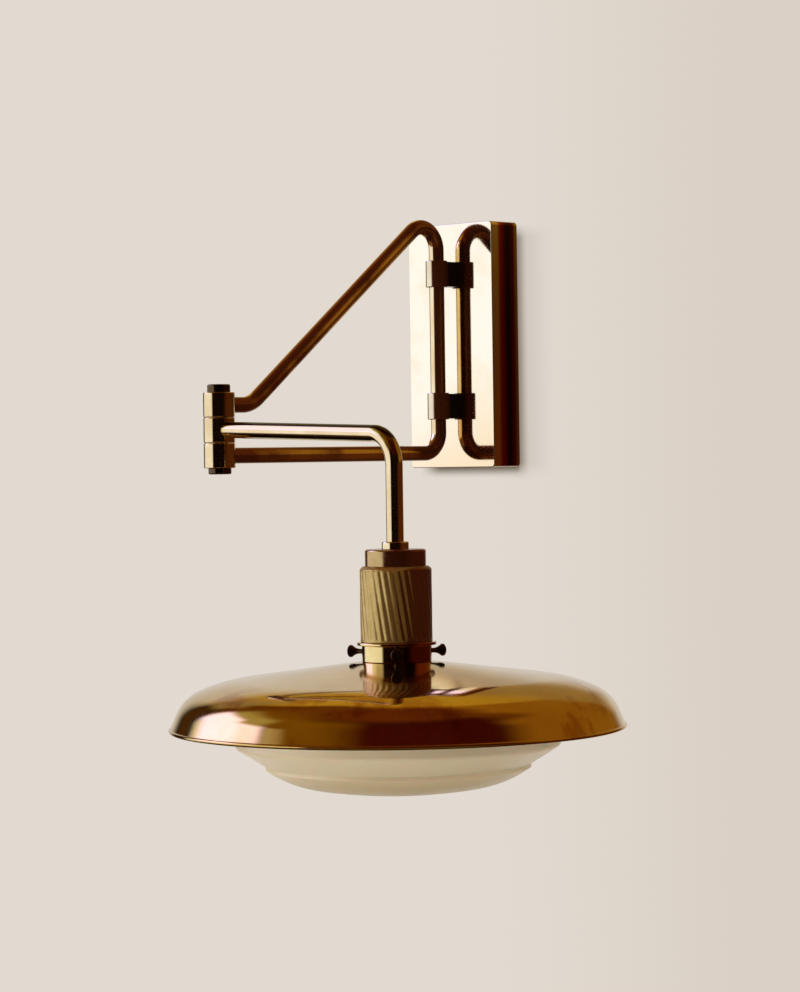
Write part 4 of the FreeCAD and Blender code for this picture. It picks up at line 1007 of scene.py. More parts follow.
@dataclass
class Arm(Assembly):
    """The bent arm tube with the outer knuckles of the elbow."""

    tube_radius: float = 4.97
    tube_end: float = 6.6
    stub_length: float = 26.3
    peak_height: float = 92.1
    stub_bend: float = 22.0
    peak_bend: float = 14.4
    foot_bend: float = 14.0
    bore: float = 5.02
    head_radius: float = 7.1
    head_seat_edge: float = 0.25
    head_edge: float = 0.9
    top_head: float = 5.0
    bottom_head: float = 3.8
    pivot_radius: float = 5.0
    pivot_length: float = 19.14
    pivot_edge: float = 0.3

    nodes = {"lower_hinge_washer": Finishes.INNER, "arm_lead": Finishes.LEAD}

    def pivot(self, name: str, seat: float, head: float, sign: int) -> Piece:
        """Turn a headed pivot.

        Args:
            name: The piece's name.
            seat: Height at which the head sits.
            head: Height of the head.
            sign: 1 if the head is above its seat, -1 if it is below.

        Returns:
            The pivot, on the elbow's axis.
        """
        inner = seat - sign * self.pivot_length
        outer = seat + sign * head
        return lathe(name, eased([
            (0.0, inner, 0.0), (self.pivot_radius, inner, self.pivot_edge), (self.pivot_radius, seat, 0.0),
            (self.head_radius, seat, self.head_seat_edge), (self.head_radius, outer, self.head_edge),
            (0.0, outer, 0.0),
        ]), LAYOUT.elbow)

    def build(self) -> None:
        """Build the tube, its two knuckles and the pivots."""
        stub = LAYOUT.elbow_height + LAYOUT.knuckle_pitch
        foot = LAYOUT.elbow_height - LAYOUT.knuckle_pitch
        end = LAYOUT.elbow_line + self.tube_end
        corners = [
            Vector((0, end, stub)), Vector((0, LAYOUT.elbow_line + self.stub_length, stub)),
            Vector((0, LAYOUT.pivot_line, self.peak_height)), Vector((0, LAYOUT.pivot_line, foot)),
            Vector((0, end, foot)),
        ]
        path = bent_path(corners, (self.stub_bend, self.peak_bend, self.foot_bend))
        piece = new_piece("arm_bent_tube", tube(path, self.tube_radius, Vector((1, 0, 0))))
        body = Body.ARM.value
        self.fit(piece, body, "tube_brass", Finishes.ARM_TUBE, "arm_frame")
        for side, level in (("upper", stub), ("lower", foot)):
            barrel = BARREL.turn(f"{side}_hinge_barrel", level, self.bore)
            self.fit(barrel, body, "knuckle_brass", Finishes.KNUCKLE, f"{side}_knuckle")
        half = BARREL.height / 2
        top = self.pivot("upper_pivot_head", stub + half, self.top_head, 1)
        self.fit(top, body, "knuckle_brass", Finishes.PIVOT, "upper_pivot")
        bottom = self.pivot("lower_pivot_head", foot - half, self.bottom_head, -1)
        self.fit(bottom, body, "knuckle_brass", Finishes.PIVOT, "lower_pivot")


@dataclass
class Forearm(Assembly):
    """The middle knuckle and the forearm tube that bends down into the stem."""

    tube_radius: float = 5.0
    tube_end: float = 6.6
    level_length: float = 12.0
    fall: float = 4.8
    set_bend: float = 60.0
    bend: float = 18.0
    stem_end: float = -135.3
    bore: float = 5.05

    nodes = {"upper_hinge_washer": Finishes.INNER, "forearm_lead": Finishes.LEAD,
             "stem_nut": Finishes.STEEL}

    def build(self) -> None:
        """Build the middle barrel and the bent tube."""
        body = Body.FOREARM.value
        barrel = BARREL.turn("middle_hinge_barrel", LAYOUT.elbow_height, self.bore)
        self.fit(barrel, body, "knuckle_brass", Finishes.KNUCKLE, "middle_knuckle")
        heading = Vector((math.cos(LAYOUT.forearm_angle), -math.sin(LAYOUT.forearm_angle), 0))
        start = Vector((*LAYOUT.elbow, LAYOUT.elbow_height))
        stem_top = start + heading * LAYOUT.forearm_reach - Vector((0, 0, self.fall))
        stem_foot = Vector((stem_top.x, stem_top.y, self.stem_end))
        path = bent_path([start + heading * self.tube_end, start + heading * self.level_length,
                          stem_top, stem_foot], (self.set_bend, self.bend))
        side = Vector((heading.y, -heading.x, 0))
        piece = new_piece("forearm_bent_tube", tube(path, self.tube_radius, side))
        self.fit(piece, body, "tube_brass", Finishes.TUBE, "forearm_tube")


@dataclass
class Lampholder(Assembly):
    """Collar, cap, fluted shell and gallery ring on the stem, with what they hold."""

    stem_bore: float = 5.02
    collar_top: float = -121.4
    collar_radius: float = 7.8
    collar_edge: float = 0.9
    collar_foot_edge: float = 0.25
    cap_top: float = -125.7
    cap_radius: float = 17.5
    cap_wall: float = 1.5
    cap_roof: float = 2.0
    cap_edge: float = 1.4
    cap_foot_edge: float = 0.3
    cap_inner_edge: float = 0.6
    shell_top: float = -135.4
    shell_foot: float = -178.4
    shell_radius: float = 20.5
    shell_wall: float = 1.5
    shell_edge: float = 1.6
    shell_foot_edge: float = 0.3
    shoulder_hole: float = 13.0
    shoulder_thick: float = 1.8
    flute_count: int = 32
    flute_depth: float = 0.36
    flute_twist: float = 0.34
    flute_sharpness: float = 1.6
    flute_steps: int = 8
    flute_rows: int = 26
    plain_band: float = 1.4
    plain_top: float = 0.35
    flute_run_in: float = 0.7
    flute_run_out: float = 1.0
    flange_radius: float = 22.75
    flange_thick: float = 1.8
    flange_edge: float = 0.6
    ring_radius: float = 19.9
    ring_wall: float = 1.5
    ring_foot: float = -189.4
    ring_foot_edge: float = 0.3
    ring_root: float = 0.4
    ring_inner_edge: float = 0.2
    spigot_height: float = 4.0
    spigot_gap: float = 0.05

    nodes = {
        "holder_core": Finishes.PORCELAIN, "holder_screws": Finishes.INNER,
        "holder_thread": Finishes.INNER, "holder_contact": Finishes.INNER,
        "bulb_contact": Finishes.INNER, "bulb_cap": Finishes.BULB_CAP,
    }

    def shell_rows(self) -> list[Corner]:
        """List the rings of the shell's skin.

        Returns:
            Each ring as (radius, height, share of the flutes' depth), round the section.
        """
        radius = self.shell_radius
        inner = radius - self.shell_wall
        foot = self.shell_foot
        top = self.shell_top - self.shell_edge
        low = foot + self.plain_band + self.flute_run_in
        high = top - self.flute_run_out
        plain = self.shell_top - self.shoulder_thick
        rows = [(inner, foot, 0.0), (radius - self.shell_foot_edge, foot, 0.0),
                (radius, foot + self.shell_foot_edge, 0.0), (radius, foot + self.plain_band, 0.0)]
        rows += [(radius, low + (high - low) * row / self.flute_rows, 1.0)
                 for row in range(self.flute_rows + 1)]
        rows += [(radius, top - self.plain_top, 0.0), (radius, top, 0.0),
                 (radius - self.shell_edge, self.shell_top, 0.0),
                 (self.shoulder_hole, self.shell_top, 0.0), (self.shoulder_hole, plain, 0.0),
                 (inner, plain, 0.0)]
        return rows

    def fluted_shell(self) -> Piece:
        """Build the shell with slanting flutes between plain bands.

        Returns:
            The shell, open below, with a hole in its shoulder.
        """
        rings = []
        for radius, height, share in self.shell_rows():
            shift = self.flute_twist * (self.shell_top - height) / (self.shell_top - self.shell_foot)
            ring = []
            for angle in round_angles(self.flute_count * self.flute_steps):
                wave = 0.5 - 0.5 * math.cos(self.flute_count * angle)
                reach = radius - self.flute_depth * share * wave ** self.flute_sharpness
                turn = angle + shift
                ring.append(Vector((reach * math.cos(turn), reach * math.sin(turn), height)))
            rings.append(ring)
        shape = Shape.skinned(rings, closed=True)
        return new_piece("fluted_holder_shell", shape, LAYOUT.stem, crease=50.0)

    def cap(self) -> Piece:
        """Turn the cap.

        Returns:
            A cup that is open below, with a hole for the stem.
        """
        inner = self.cap_radius - self.cap_wall
        roof = self.cap_top - self.cap_roof
        return lathe("holder_cap_cup", eased([
            (self.stem_bore, roof, 0.0), (inner, roof, self.cap_inner_edge), (inner, self.shell_top, 0.0),
            (self.cap_radius, self.shell_top, self.cap_foot_edge),
            (self.cap_radius, self.cap_top, self.cap_edge), (self.stem_bore, self.cap_top, 0.0),
        ]), LAYOUT.stem)

    def gallery(self) -> Piece:
        """Turn the gallery ring.

        Returns:
            The ring with its flange and the spigot that goes up into the shell.
        """
        seat = self.shell_foot
        flange = seat - self.flange_thick
        ring_in = self.ring_radius - self.ring_wall
        spigot = self.shell_radius - self.shell_wall - self.spigot_gap
        spigot_in = spigot - self.ring_wall
        spigot_top = seat + self.spigot_height
        return lathe("gallery_collar", eased([
            (spigot_in, flange, 0.0), (ring_in, flange, 0.0),
            (ring_in, self.ring_foot, self.ring_inner_edge),
            (self.ring_radius, self.ring_foot, self.ring_foot_edge),
            (self.ring_radius, flange, self.ring_root), (self.flange_radius, flange, self.flange_edge),
            (self.flange_radius, seat, self.flange_edge), (spigot, seat, 0.0),
            (spigot, spigot_top, self.ring_inner_edge), (spigot_in, spigot_top, self.ring_inner_edge),
        ]), LAYOUT.stem)

    def build(self) -> None:
        """Build the turned pieces of the holder from the top down."""
        body = Body.FOREARM.value
        roundings = (0.0, self.collar_foot_edge, self.collar_edge, 0.0)
        collar = lathe("stem_collar_ring", ring_section(
            self.stem_bore, self.collar_radius, self.cap_top, self.collar_top, roundings), LAYOUT.stem)
        self.fit(collar, body, "knuckle_brass", Finishes.KNUCKLE, "stem_collar")
        self.fit(self.cap(), body, "holder_brass", Finishes.CAP, "holder_cap")
        self.fit(self.fluted_shell(), body, "holder_brass", Finishes.HOLDER, "holder_shell")
        self.fit(self.gallery(), body, "knuckle_brass", Finishes.GALLERY, "gallery_ring")


@dataclass
class Thumbscrews(Assembly):
    """The three trumpet-headed screws that hold the shade's neck."""

    count: int = 3
    first_angle: float = -45.8
    height: float = -184.4
    tip: float = 18.05
    tip_edge: float = 0.5
    shank_radius: float = 1.4
    neck_end: float = 24.5
    head_end: float = 31.1
    head_radius: float = 3.5
    head_edge: float = 0.35
    rim: float = 1.2
    flare_power: float = 1.9
    flare_steps: int = 10
    dish_share: float = 0.55
    dish_edge: float = 0.25
    dish_depth: float = 0.4
    segments: int = 48

    def section(self) -> list[Point]:
        """Draw half a screw's section.

        Returns:
            Points as (radius, distance from the stem's axis).
        """
        points: list[Point] = [(0.0, self.tip), (self.shank_radius - self.tip_edge, self.tip),
                               (self.shank_radius, self.tip + self.tip_edge)]
        flare = self.head_end - self.rim - self.neck_end
        for step in range(self.flare_steps + 1):
            share = step / self.flare_steps
            spread = (self.head_radius - self.shank_radius) * share ** self.flare_power
            points.append((self.shank_radius + spread, self.neck_end + flare * share))
        points += [(self.head_radius, self.head_end - self.head_edge),
                   (self.head_radius - self.head_edge, self.head_end),
                   (self.head_radius * self.dish_share, self.head_end - self.dish_edge),
                   (0.0, self.head_end - self.dish_depth)]
        return points

    def build(self) -> None:
        """Build each screw along its own radius."""
        place = Matrix.Translation(Vector((*LAYOUT.stem, self.height)) * MM)
        for index in range(self.count):
            angle = math.radians(self.first_angle + 360.0 * index / self.count)
            screw = lathe(f"trumpet_screw_{index + 1}", self.section(), segments=self.segments)
            screw.matrix_world = (place @ Matrix.Rotation(angle, 4, "Z")
                                  @ Matrix.Rotation(QUARTER_TURN, 4, "Y"))
            self.fit(screw, f"{Body.THUMBSCREW.value}_{index + 1}", "screw_brass", Finishes.SCREW,
                     f"thumbscrew_{index + 1}")


@dataclass
class ShadeAndBowl(Assembly):
    """The spun shade, the stepped glass bowl under it and the bulb."""

    wall: float = 1.0
    neck_radius: float = 18.0
    neck_top: float = -181.2
    crown_edge: float = 19.9
    crown_top: float = -189.6
    crown_radius: float = 90.4
    crown_slope: float = math.radians(7.55)
    crown_steps: int = 24
    shoulder_slope: float = math.radians(23.8)
    skirt_slope: float = math.radians(66.8)
    upper_curve: float = 85.3
    upper_steps: int = 14
    lower_curve: float = 24.0
    lower_steps: int = 22
    skirt_width: float = 3.27
    bead: float = 1.2
    bead_steps: int = 16
    glass_wall: float = 3.0
    glass_depth: float = 36.8
    floor_curve: float = 300.0
    floor_radius: float = 50.6
    floor_steps: int = 14
    round_curve: float = 60.5
    round_width: float = 25.1
    round_steps: int = 12
    step_height: float = 2.2
    step_width: float = 1.2
    step_rise: float = 0.6
    step_edge: float = 0.5
    step_root: float = 0.6
    cone_slope: float = math.radians(31.8)
    cone_width: float = 16.1
    cone_edge: float = 3.0
    cone_root: float = 1.5
    flange_width: float = 5.0
    flange_edge: float = 0.8
    clip_thick: float = 1.2
    bulb_foot: float = -238.7
    bulb_radius: float = 22.5
    bulb_neck: float = 12.4
    bulb_neck_top: float = -169.5
    bulb_neck_rise: float = 5.0
    bulb_neck_curve: float = 9.0
    bulb_shoulder: float = math.radians(42)
    bulb_steps: int = 26
    bulb_neck_steps: int = 10
    bulb_segments: int = 96
    segments: int = 256

    nodes = {"glass_clips": Finishes.INNER}

    def falling_arc(self, start: Point, slope: float, next_slope: float, radius: float,
                    steps: int) -> list[Point]:
        """Follow a surface that falls outward from one slope to the next.

        Args:
            start: First point of the arc.
            slope: Slope at the start, in radians.
            next_slope: Slope at the end.
            radius: Radius of the arc.
            steps: Pieces in the arc.

        Returns:
            Points from start to end.
        """
        centre = (start[0] - radius * math.sin(slope), start[1] - radius * math.cos(slope))
        return arc(centre, radius, QUARTER_TURN - slope, QUARTER_TURN - next_slope, steps)

    def shade_skin(self, inset: float) -> list[Point]:
        """Draw the shade's line from the crown's edge to the skirt.

        Args:
            inset: How far it is set in from the outer skin.

        Returns:
            Points from the crown's edge down.
        """
        fall = math.tan(self.crown_slope)
        crown = (self.crown_radius - inset * math.sin(self.crown_slope),
                 self.crown_top - (self.crown_radius - self.crown_edge) * fall
                 - inset * math.cos(self.crown_slope))
        upper = self.falling_arc(crown, self.crown_slope, self.shoulder_slope,
                                 self.upper_curve - inset, self.upper_steps)
        lower = self.falling_arc(upper[-1], self.shoulder_slope, self.skirt_slope,
                                 self.lower_curve - inset, self.lower_steps)
        return upper + lower[1:]

    def crown_run(self, start: float, edge: Point) -> list[Point]:
        """Follow the crown's cone outward.

        Args:
            start: Radius of the first point.
            edge: The crown's edge, which isn't repeated.

        Returns:
            Points from the start to just before the edge.
        """
        fall = math.tan(self.crown_slope)
        radii = [start + (edge[0] - start) * step / self.crown_steps for step in range(self.crown_steps)]
        return [(radius, edge[1] + (edge[0] - radius) * fall) for radius in radii]

    @property
    def bead_foot(self) -> float:
        """Height of the rim's lowest line."""
        skirt = self.shade_skin(0.0)[-1]
        return skirt[1] - self.skirt_width * math.tan(self.skirt_slope) - 2 * self.bead

    def shade(self) -> Piece:
        """Spin the shade with its neck and rolled rim.

        Returns:
            The shade.
        """
        outer = self.shade_skin(0.0)
        inner = self.shade_skin(self.wall)
        neck_in = self.neck_radius - self.wall
        foot = self.bead_foot
        roll = arc((outer[-1][0] + self.skirt_width, foot + self.bead), self.bead,
                   QUARTER_TURN, -QUARTER_TURN, self.bead_steps)
        inner_foot = (inner[-1][0] + (inner[-1][1] - foot) / math.tan(self.skirt_slope), foot)
        section = [(self.neck_radius, self.neck_top)]
        section += self.crown_run(self.neck_radius, outer[0]) + outer + roll + [inner_foot]
        section += list(reversed(self.crown_run(neck_in, inner[0]) + inner)) + [(neck_in, self.neck_top)]
        return lathe("spun_shade", section, LAYOUT.stem, self.segments)

    def bowl_skin(self, inset: float) -> list[Point]:
        """Draw the bowl's line from the middle of its floor to the foot of the step.

        Args:
            inset: How far it is set in from the outer skin.

        Returns:
            Points from the middle outward.
        """
        lean = math.asin(self.floor_radius / self.floor_curve)
        turn = math.asin(math.sin(lean) + self.round_width / self.round_curve)
        centre = (0.0, self.bead_foot - self.glass_depth + self.floor_curve)
        apart = self.floor_curve - self.round_curve
        round_centre = (apart * math.sin(lean), centre[1] - apart * math.cos(lean))
        floor = arc(centre, self.floor_curve - inset, -QUARTER_TURN, lean - QUARTER_TURN, self.floor_steps)
        return floor + arc(round_centre, self.round_curve - inset, lean - QUARTER_TURN,
                           turn - QUARTER_TURN, self.round_steps)[1:]

    def bowl(self) -> Piece:
        """Blow the stepped glass bowl.

        Returns:
            The bowl, open above.
        """
        wall = self.glass_wall
        outer = self.bowl_skin(0.0)
        inner = self.bowl_skin(wall)
        edge = outer[-1]
        rise = math.tan(self.cone_slope)
        step_top = edge[1] + self.step_height
        cone = (edge[0] + self.step_width, step_top + self.step_rise)
        head = (cone[0] + self.cone_width, cone[1] + self.cone_width * rise)
        flange_low = self.bead_foot - self.clip_thick
        flange_high = flange_low + wall
        rim = head[0] + self.flange_width
        cone_in = (cone[0] - wall * math.sin(self.cone_slope), cone[1] + wall * math.cos(self.cone_slope))
        wall_in = head[0] - wall
        head_in = cone_in[1] + (wall_in - cone_in[0]) * rise
        upper = eased([
            (*edge, 0.0), (edge[0], step_top, self.step_edge), (*cone, self.step_root),
            (*head, self.cone_edge), (head[0], flange_low, self.flange_edge),
            (rim, flange_low, self.flange_edge), (rim, flange_high, self.flange_edge),
            (wall_in, flange_high, self.flange_edge), (wall_in, head_in, self.cone_edge),
            (*cone_in, self.cone_root), (*inner[-1], 0.0),
        ], closed=False)
        section = outer[:-1] + upper + list(reversed(inner[:-1]))
        return lathe("stepped_glass_bowl", section, LAYOUT.stem, self.segments)

    def bulb(self) -> Piece:
        """Blow the bulb's globe with a smooth neck.

        Returns:
            The bulb.
        """
        centre = (0.0, self.bulb_foot + self.bulb_radius)
        globe = arc(centre, self.bulb_radius, -QUARTER_TURN, self.bulb_shoulder, self.bulb_steps)
        shoulder = globe[-1]
        neck = eased([
            (*shoulder, 0.0), (self.bulb_neck, shoulder[1] + self.bulb_neck_rise, self.bulb_neck_curve),
            (self.bulb_neck, self.bulb_neck_top, 0.0), (0.0, self.bulb_neck_top, 0.0),
        ], closed=False, steps=self.bulb_neck_steps)
        return lathe("bulb_globe", globe[:-1] + neck, LAYOUT.stem, self.bulb_segments)

    def build(self) -> None:
        """Build shade, bowl and bulb."""
        body = Body.FOREARM.value
        self.fit(self.shade(), body, "shade_brass", Finishes.SHADE, "shade")
        self.fit(self.bowl(), body, "frosted_glass", Finishes.BOWL, "glass_bowl")
        self.fit(self.bulb(), body, "bulb_glass", Finishes.BULB, "bulb_glass")


# Studio

@dataclass(frozen=True)
class Panel:
    """A soft patch of light or dark in the room round the lamp, in degrees.

    The heading is to the left of the line from the lamp to the camera, and the low and high
    edges are elevations between which the patch fades in and out.
    """

    colour: Colour
    heading: float
    full_width: float
    fade_width: float
    low: Range
    high: Optional[Range] = None

    def share(self, sheet: Shader, towards: Vector, level: Socket, height: Socket) -> Socket:
        """Lay out where the patch shows.

        Args:
            sheet: The world's nodes.
            towards: The heading as a level direction.
            level: The level part of each direction.
            height: The upright part of each direction.

        Returns:
            How much of the patch shows, from 0 to 1.
        """
        widths = [math.cos(math.radians(width)) for width in (self.fade_width, self.full_width)]
        low = [math.sin(math.radians(edge)) for edge in self.low]
        share = sheet.product(sheet.soft(sheet.along(level, towards), *widths), sheet.soft(height, *low))
        if self.high is not None:
            high = [math.sin(math.radians(edge)) for edge in self.high]
            share = sheet.product(share, sheet.soft(height, *high, 1.0, 0.0))
        return share


@dataclass(frozen=True)
class Softbox:
    """A soft square lamp: degrees left of the camera, metres from its target, watts and metres."""

    name: str
    heading: float
    lift: float
    distance: float
    power: float
    width: float


@dataclass(frozen=True)
class Floor:
    """A round pale floor that fades out at its edge, in metres."""

    height: float = -0.62
    radius: float = 0.85
    centre: Point = (0.08, -0.13)
    facets: int = 96
    fade: Range = (0.45, 0.98)
    grit_scale: float = 260.0
    grit_reach: Range = (0.2, 0.8)
    grit_dimming: float = 0.97

    def build(self, colour: Colour) -> None:
        """Lay the floor.

        Args:
            colour: Its colour, which is the wall's.
        """
        reach = self.radius / MM
        rim = [Vector((reach * math.cos(a), reach * math.sin(a), 0)) for a in round_angles(self.facets)]
        disc = new_piece("floor_disc", Shape.flat(rim), solid=False)
        disc.location = (*self.centre, self.height)
        shader = Shader.named("pale_floor")
        away = shader.add("ShaderNodeVectorMath", {0: shader.coordinate(Source.PLACE)}, operation="LENGTH")
        fade = shader.soft(away.outputs["Value"], self.fade[0] * self.radius, self.fade[1] * self.radius)
        below = shader.add("ShaderNodeNewGeometry").outputs["Backfacing"]
        fade = shader.calculate("MAXIMUM", fade, below)
        grit = shader.band(shader.noise(self.grit_scale), *self.grit_reach)
        tint = shader.blend(grit, dimmed(colour, self.grit_dimming), colour)
        matt = shader.add("ShaderNodeBsdfDiffuse", {"Color": tint}).outputs[0]
        clear = shader.add("ShaderNodeBsdfTransparent").outputs[0]
        disc.data.materials.append(shader.finish(shader.layer(fade, matt, clear)))
        disc.visible_glossy = False


@dataclass(frozen=True)
class WallShade:
    """The soft shade that the cover throws on the wall beside and below it, in metres.

    Each fade is measured from the edge of the cover that it follows.
    """

    side: float = 0.0375
    foot: float = -0.0805
    reach: float = 0.045
    behind: float = 0.0004
    colour: Colour = (0.085, 0.050, 0.018)
    near_depth: float = 0.55
    near_fade: Range = (-0.002, 0.009)
    far_depth: float = 0.20
    far_fade: Range = (0.0, 0.034)
    beside_foot: Range = (-0.010, 0.004)
    beside_top: Range = (-0.012, 0.0)
    under_depth: float = 0.92
    under_fade: Range = (-0.008, 0.001)
    under_left: Range = (-0.018, 0.004)
    under_right: Range = (-0.004, 0.006)
    under_top: Range = (0.002, 0.016)

    def share(self, shader: Shader) -> Socket:
        """Lay out how deep the shade is.

        Args:
            shader: The card's nodes.

        Returns:
            The depth from 0 to 1, and 0 from behind.
        """
        side, foot, top = self.side, self.foot, -self.foot
        parts = shader.add("ShaderNodeSeparateXYZ", {0: shader.coordinate(Source.PLACE)}).outputs
        across, up = parts["X"], parts["Z"]
        near = shader.past(across, side, self.near_fade, self.near_depth, 0.0)
        far = shader.past(across, side, self.far_fade, self.far_depth, 0.0)
        beside = shader.product(
            shader.calculate("ADD", near, far), shader.soft(across, 0.0, side),
            shader.past(up, foot, self.beside_foot), shader.past(up, top, self.beside_top, 1.0, 0.0))
        under = shader.product(
            shader.past(up, foot, self.under_fade, 0.0, self.under_depth),
            shader.past(across, -side, self.under_left),
            shader.past(across, side, self.under_right, 1.0, 0.0),
            shader.past(up, foot, self.under_top, 1.0, 0.0))
        back = shader.add("ShaderNodeNewGeometry").outputs["Backfacing"]
        front = shader.calculate("SUBTRACT", 1.0, back)
        return shader.product(shader.calculate("MAXIMUM", beside, under), front)

    def build(self) -> None:
        """Set a card just behind the cover's back that only the camera sees."""
        right, low, high = self.side + self.reach, self.foot - self.reach, -self.foot
        corners = ((-right, low), (right, low), (right, high), (-right, high))
        sheet = Shape.flat([Vector((x, self.behind, z)) / MM for x, z in corners])
        card = new_piece("wall_shade_card", sheet, solid=False)
        shader = Shader.named("wall_shade")
        dark = shader.add("ShaderNodeEmission", {"Color": self.colour, "Strength": 1.0}).outputs[0]
        clear = shader.add("ShaderNodeBsdfTransparent").outputs[0]
        card.data.materials.append(shader.finish(shader.layer(self.share(shader), clear, dark)))
        card.visible_glossy = False
        card.visible_diffuse = False
        card.visible_shadow = False


@dataclass
class Studio:
    """Camera, room, floor and lamps."""

    yaw: float = math.radians(44.05)
    pitch: float = math.radians(-0.69)
    roll: float = math.radians(-0.84)
    camera_place: Axis = (1.3573, -1.4786, -0.0750)
    focal_pixels: float = 3000.0
    image_height: float = 992.0
    sensor: float = 36.0
    far_clip: float = 50.0
    wall_colour: Colour = (0.761, 0.700, 0.634)
    # Painted shade: the wall's colour further to the right
    wall_right_shaded: Colour = (0.702, 0.634, 0.564)
    wall_turn: Range = (0.02, 0.12)
    wall_turn_heading: float = -90.0
    room_colour: Colour = (0.005, 0.0012, 0.0005)
    ambient_high: float = 0.95
    ambient_low: float = 0.42
    ambient_rise: Range = (-0.6, 0.4)
    lamp_tint: Colour = (1.0, 0.97, 0.92)
    lamp_target: Axis = (0.08, -0.2, -0.15)

    softboxes: tuple[Softbox, ...] = (
        Softbox("key_softbox", heading=80.0, lift=0.75, distance=1.6, power=14.0, width=0.9),
        Softbox("fill_softbox", heading=-55.0, lift=0.35, distance=1.8, power=5.0, width=1.2),
        Softbox("bounce_card", heading=65.0, lift=-0.34, distance=0.95, power=3.2, width=0.7),
    )

    # Each panel lies over those before it
    panels: tuple[Panel, ...] = (
        # Floor in front, roof and dark front
        Panel((0.20, 0.11, 0.035), 10.0, 80.0, 115.0, (-60.0, -40.0), (-12.0, -6.5)),
        Panel((0.145, 0.032, 0.003), 90.0, 176.0, 180.0, (54.0, 74.0)),
        Panel((0.050, 0.002, 0.0006), -15.0, 55.0, 80.0, (18.0, 34.0), (54.0, 76.0)),
        # Upper part of the wall, amber to the right and behind, and dark low down on the right
        Panel((0.16, 0.052, 0.004), 180.0, 90.0, 120.0, (28.0, 42.0), (66.0, 80.0)),
        Panel((0.32, 0.155, 0.015), -122.0, 38.0, 64.0, (0.0, 10.0), (42.0, 54.0)),
        Panel((0.34, 0.165, 0.015), -146.0, 30.0, 54.0, (34.0, 46.0), (62.0, 74.0)),
        Panel((0.55, 0.36, 0.048), 178.0, 14.0, 28.0, (14.0, 26.0), (46.0, 54.0)),
        Panel((0.56, 0.37, 0.046), 187.0, 9.0, 20.0, (38.0, 48.0), (56.0, 66.0)),
        Panel((0.09, 0.022, 0.002), -105.0, 42.0, 72.0, (-60.0, -40.0), (-2.0, 8.0)),
        # Warm light to the left
        Panel((0.23, 0.110, 0.003), 82.0, 24.0, 68.0, (20.0, 35.0), (52.0, 72.0)),
        Panel((0.52, 0.48, 0.26), 108.0, 14.0, 28.0, (15.0, 28.0), (44.0, 54.0)),
        Panel((0.36, 0.27, 0.14), 154.0, 5.0, 15.0, (24.0, 31.0), (38.0, 44.0)),
        # Wall straight behind
        Panel((0.69, 0.655, 0.61), 181.5, 17.0, 33.0, (-50.0, -20.0), (22.0, 31.0)),
        Panel((0.37, 0.245, 0.085), 197.0, 11.0, 18.0, (7.0, 20.0), (30.0, 42.0)),
        # Bright window to the left, its duller near edge and a dark strip past its far edge
        Panel((1.12, 1.18, 1.38), 90.0, 36.0, 46.0, (-21.0, -13.0), (14.0, 26.0)),
        Panel((2.05, 2.00, 5.50), 103.0, 16.0, 26.0, (9.0, 15.0), (30.0, 37.0)),
        Panel((2.00, 1.95, 5.20), 118.0, 9.0, 17.0, (14.0, 24.0), (36.0, 42.0)),
        Panel((1.15, 1.35, 1.70), 83.0, 7.0, 13.0, (12.0, 15.0), (23.0, 30.0)),
        Panel((0.66, 0.62, 0.55), 73.0, 2.0, 9.0, (15.0, 22.0), (30.0, 36.0)),
        Panel((0.07, 0.028, 0.002), 143.0, 4.0, 9.0, (2.0, 8.0), (25.0, 32.0)),
    )

    def build(self) -> None:
        """Build the whole studio."""
        bpy.context.scene.view_settings.view_transform = "Standard"
        self.camera()
        self.world()
        Floor().build(self.wall_colour)
        WallShade().build()
        for softbox in self.softboxes:
            self.hang(softbox)

    def camera(self) -> None:
        """Set the camera at the picture's viewing angle."""
        data = bpy.data.cameras.new("picture_camera")
        data.sensor_fit = "VERTICAL"
        data.sensor_height = self.sensor
        data.lens = self.focal_pixels / self.image_height * self.sensor
        data.clip_end = self.far_clip
        camera = in_scene("picture_camera", data)
        turn = (Matrix.Rotation(self.yaw, 4, "Z") @ Matrix.Rotation(QUARTER_TURN + self.pitch, 4, "X")
                @ Matrix.Rotation(self.roll, 4, "Z"))
        camera.matrix_world = Matrix.Translation(self.camera_place) @ turn
        bpy.context.scene.camera = camera

    def heading(self, degrees: float) -> Vector:
        """Return the level direction that lies so far to the left of the camera."""
        angle = self.yaw - math.radians(degrees)
        return Vector((math.sin(angle), -math.cos(angle), 0.0))

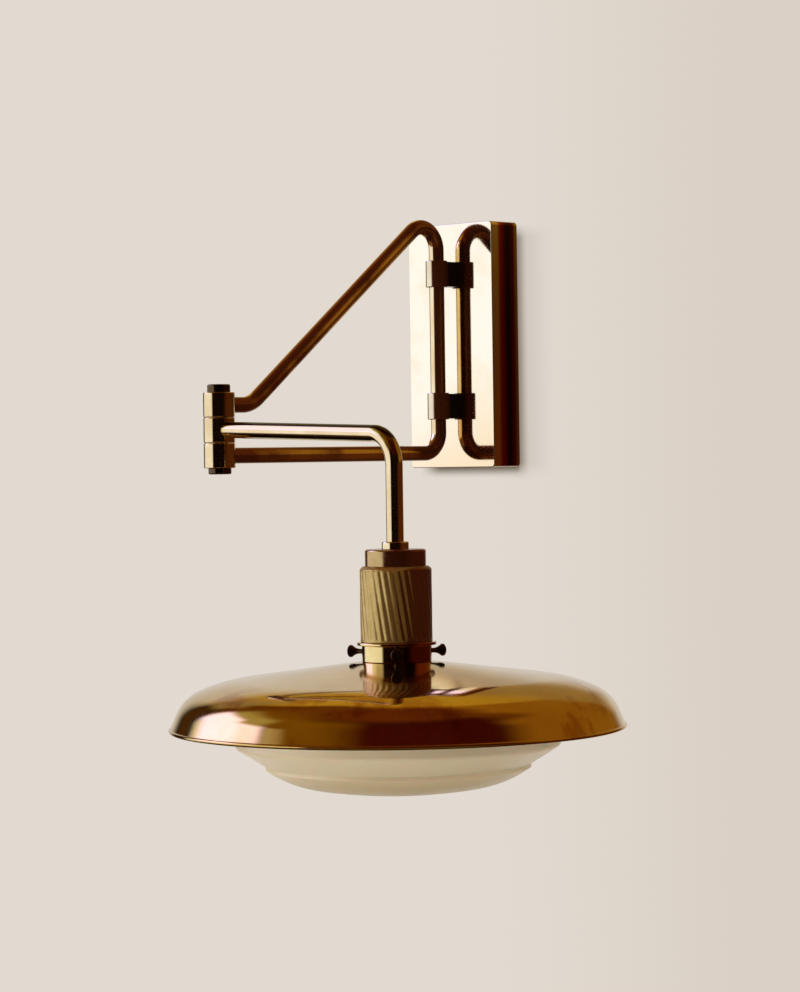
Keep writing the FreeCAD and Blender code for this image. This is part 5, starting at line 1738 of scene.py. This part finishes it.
    def room(self, sheet: Shader, direction: Socket, height: Socket) -> Paint:
        """Lay out the lights and darks that the metal mirrors.

        Args:
            sheet: The world's nodes.
            direction: The direction looked in.
            height: Its upright part.

        Returns:
            The room's colour in each direction.
        """
        level = sheet.add("ShaderNodeVectorMath", {0: direction, 1: (1.0, 1.0, 0.0)},
                          operation="MULTIPLY").outputs[0]
        level = sheet.add("ShaderNodeVectorMath", {0: level}, operation="NORMALIZE").outputs[0]
        room = self.room_colour
        for panel in self.panels:
            share = panel.share(sheet, self.heading(panel.heading), level, height)
            room = sheet.blend(share, room, panel.colour)
        return room

    def world(self) -> None:
        """Show a pale wall, with painted shade towards its right, to the camera and the room's lights and
        darks to the metal.
        """
        world = bpy.data.worlds.new("studio_room")
        bpy.context.scene.world = world
        sheet = Shader(world)
        direction = sheet.coordinate(Source.DIRECTION)
        height = sheet.add("ShaderNodeSeparateXYZ", {0: direction}).outputs["Z"]
        rays = sheet.add("ShaderNodeLightPath").outputs
        soft_light = sheet.blend(sheet.soft(height, *self.ambient_rise),
                                 dimmed(self.wall_colour, self.ambient_low),
                                 dimmed(self.wall_colour, self.ambient_high))
        seen = sheet.blend(rays["Is Glossy Ray"], soft_light, self.room(sheet, direction, height))
        # Painted shade: the wall that the camera sees darkens towards the right
        aside = sheet.along(direction, self.heading(self.wall_turn_heading))
        wall = sheet.blend(sheet.soft(aside, *self.wall_turn), self.wall_colour, self.wall_right_shaded)
        seen = sheet.blend(rays["Is Camera Ray"], seen, wall)
        background = sheet.add("ShaderNodeBackground", {"Color": seen, "Strength": 1.0})
        sheet.add("ShaderNodeOutputWorld", {"Surface": background.outputs[0]})

    def hang(self, softbox: Softbox) -> None:
        """Hang a soft lamp that lights the part but isn't mirrored in it.

        Args:
            softbox: Its place, power and size.
        """
        data = bpy.data.lights.new(softbox.name, "AREA")
        data.energy = softbox.power
        data.size = softbox.width
        data.color = self.lamp_tint
        lamp = in_scene(softbox.name, data)
        target = Vector(self.lamp_target)
        place = target + self.heading(softbox.heading) * softbox.distance + Vector((0, 0, softbox.lift))
        aim = (target - place).to_track_quat("-Z", "Y")
        lamp.matrix_world = Matrix.Translation(place) @ aim.to_matrix().to_4x4()
        lamp.visible_glossy = False


def main() -> None:
    """Build and dress every sub-assembly, then the studio."""
    logging.basicConfig(level=logging.INFO, format="%(name)s: %(message)s")
    for assembly in (WallBox(), Arm(), Forearm(), Lampholder(), Thumbscrews(), ShadeAndBowl()):
        LOG.info("building %s", type(assembly).__name__)
        assembly.build()
        assembly.dress()
    Studio().build()


if __name__ == "__main__":
    main()
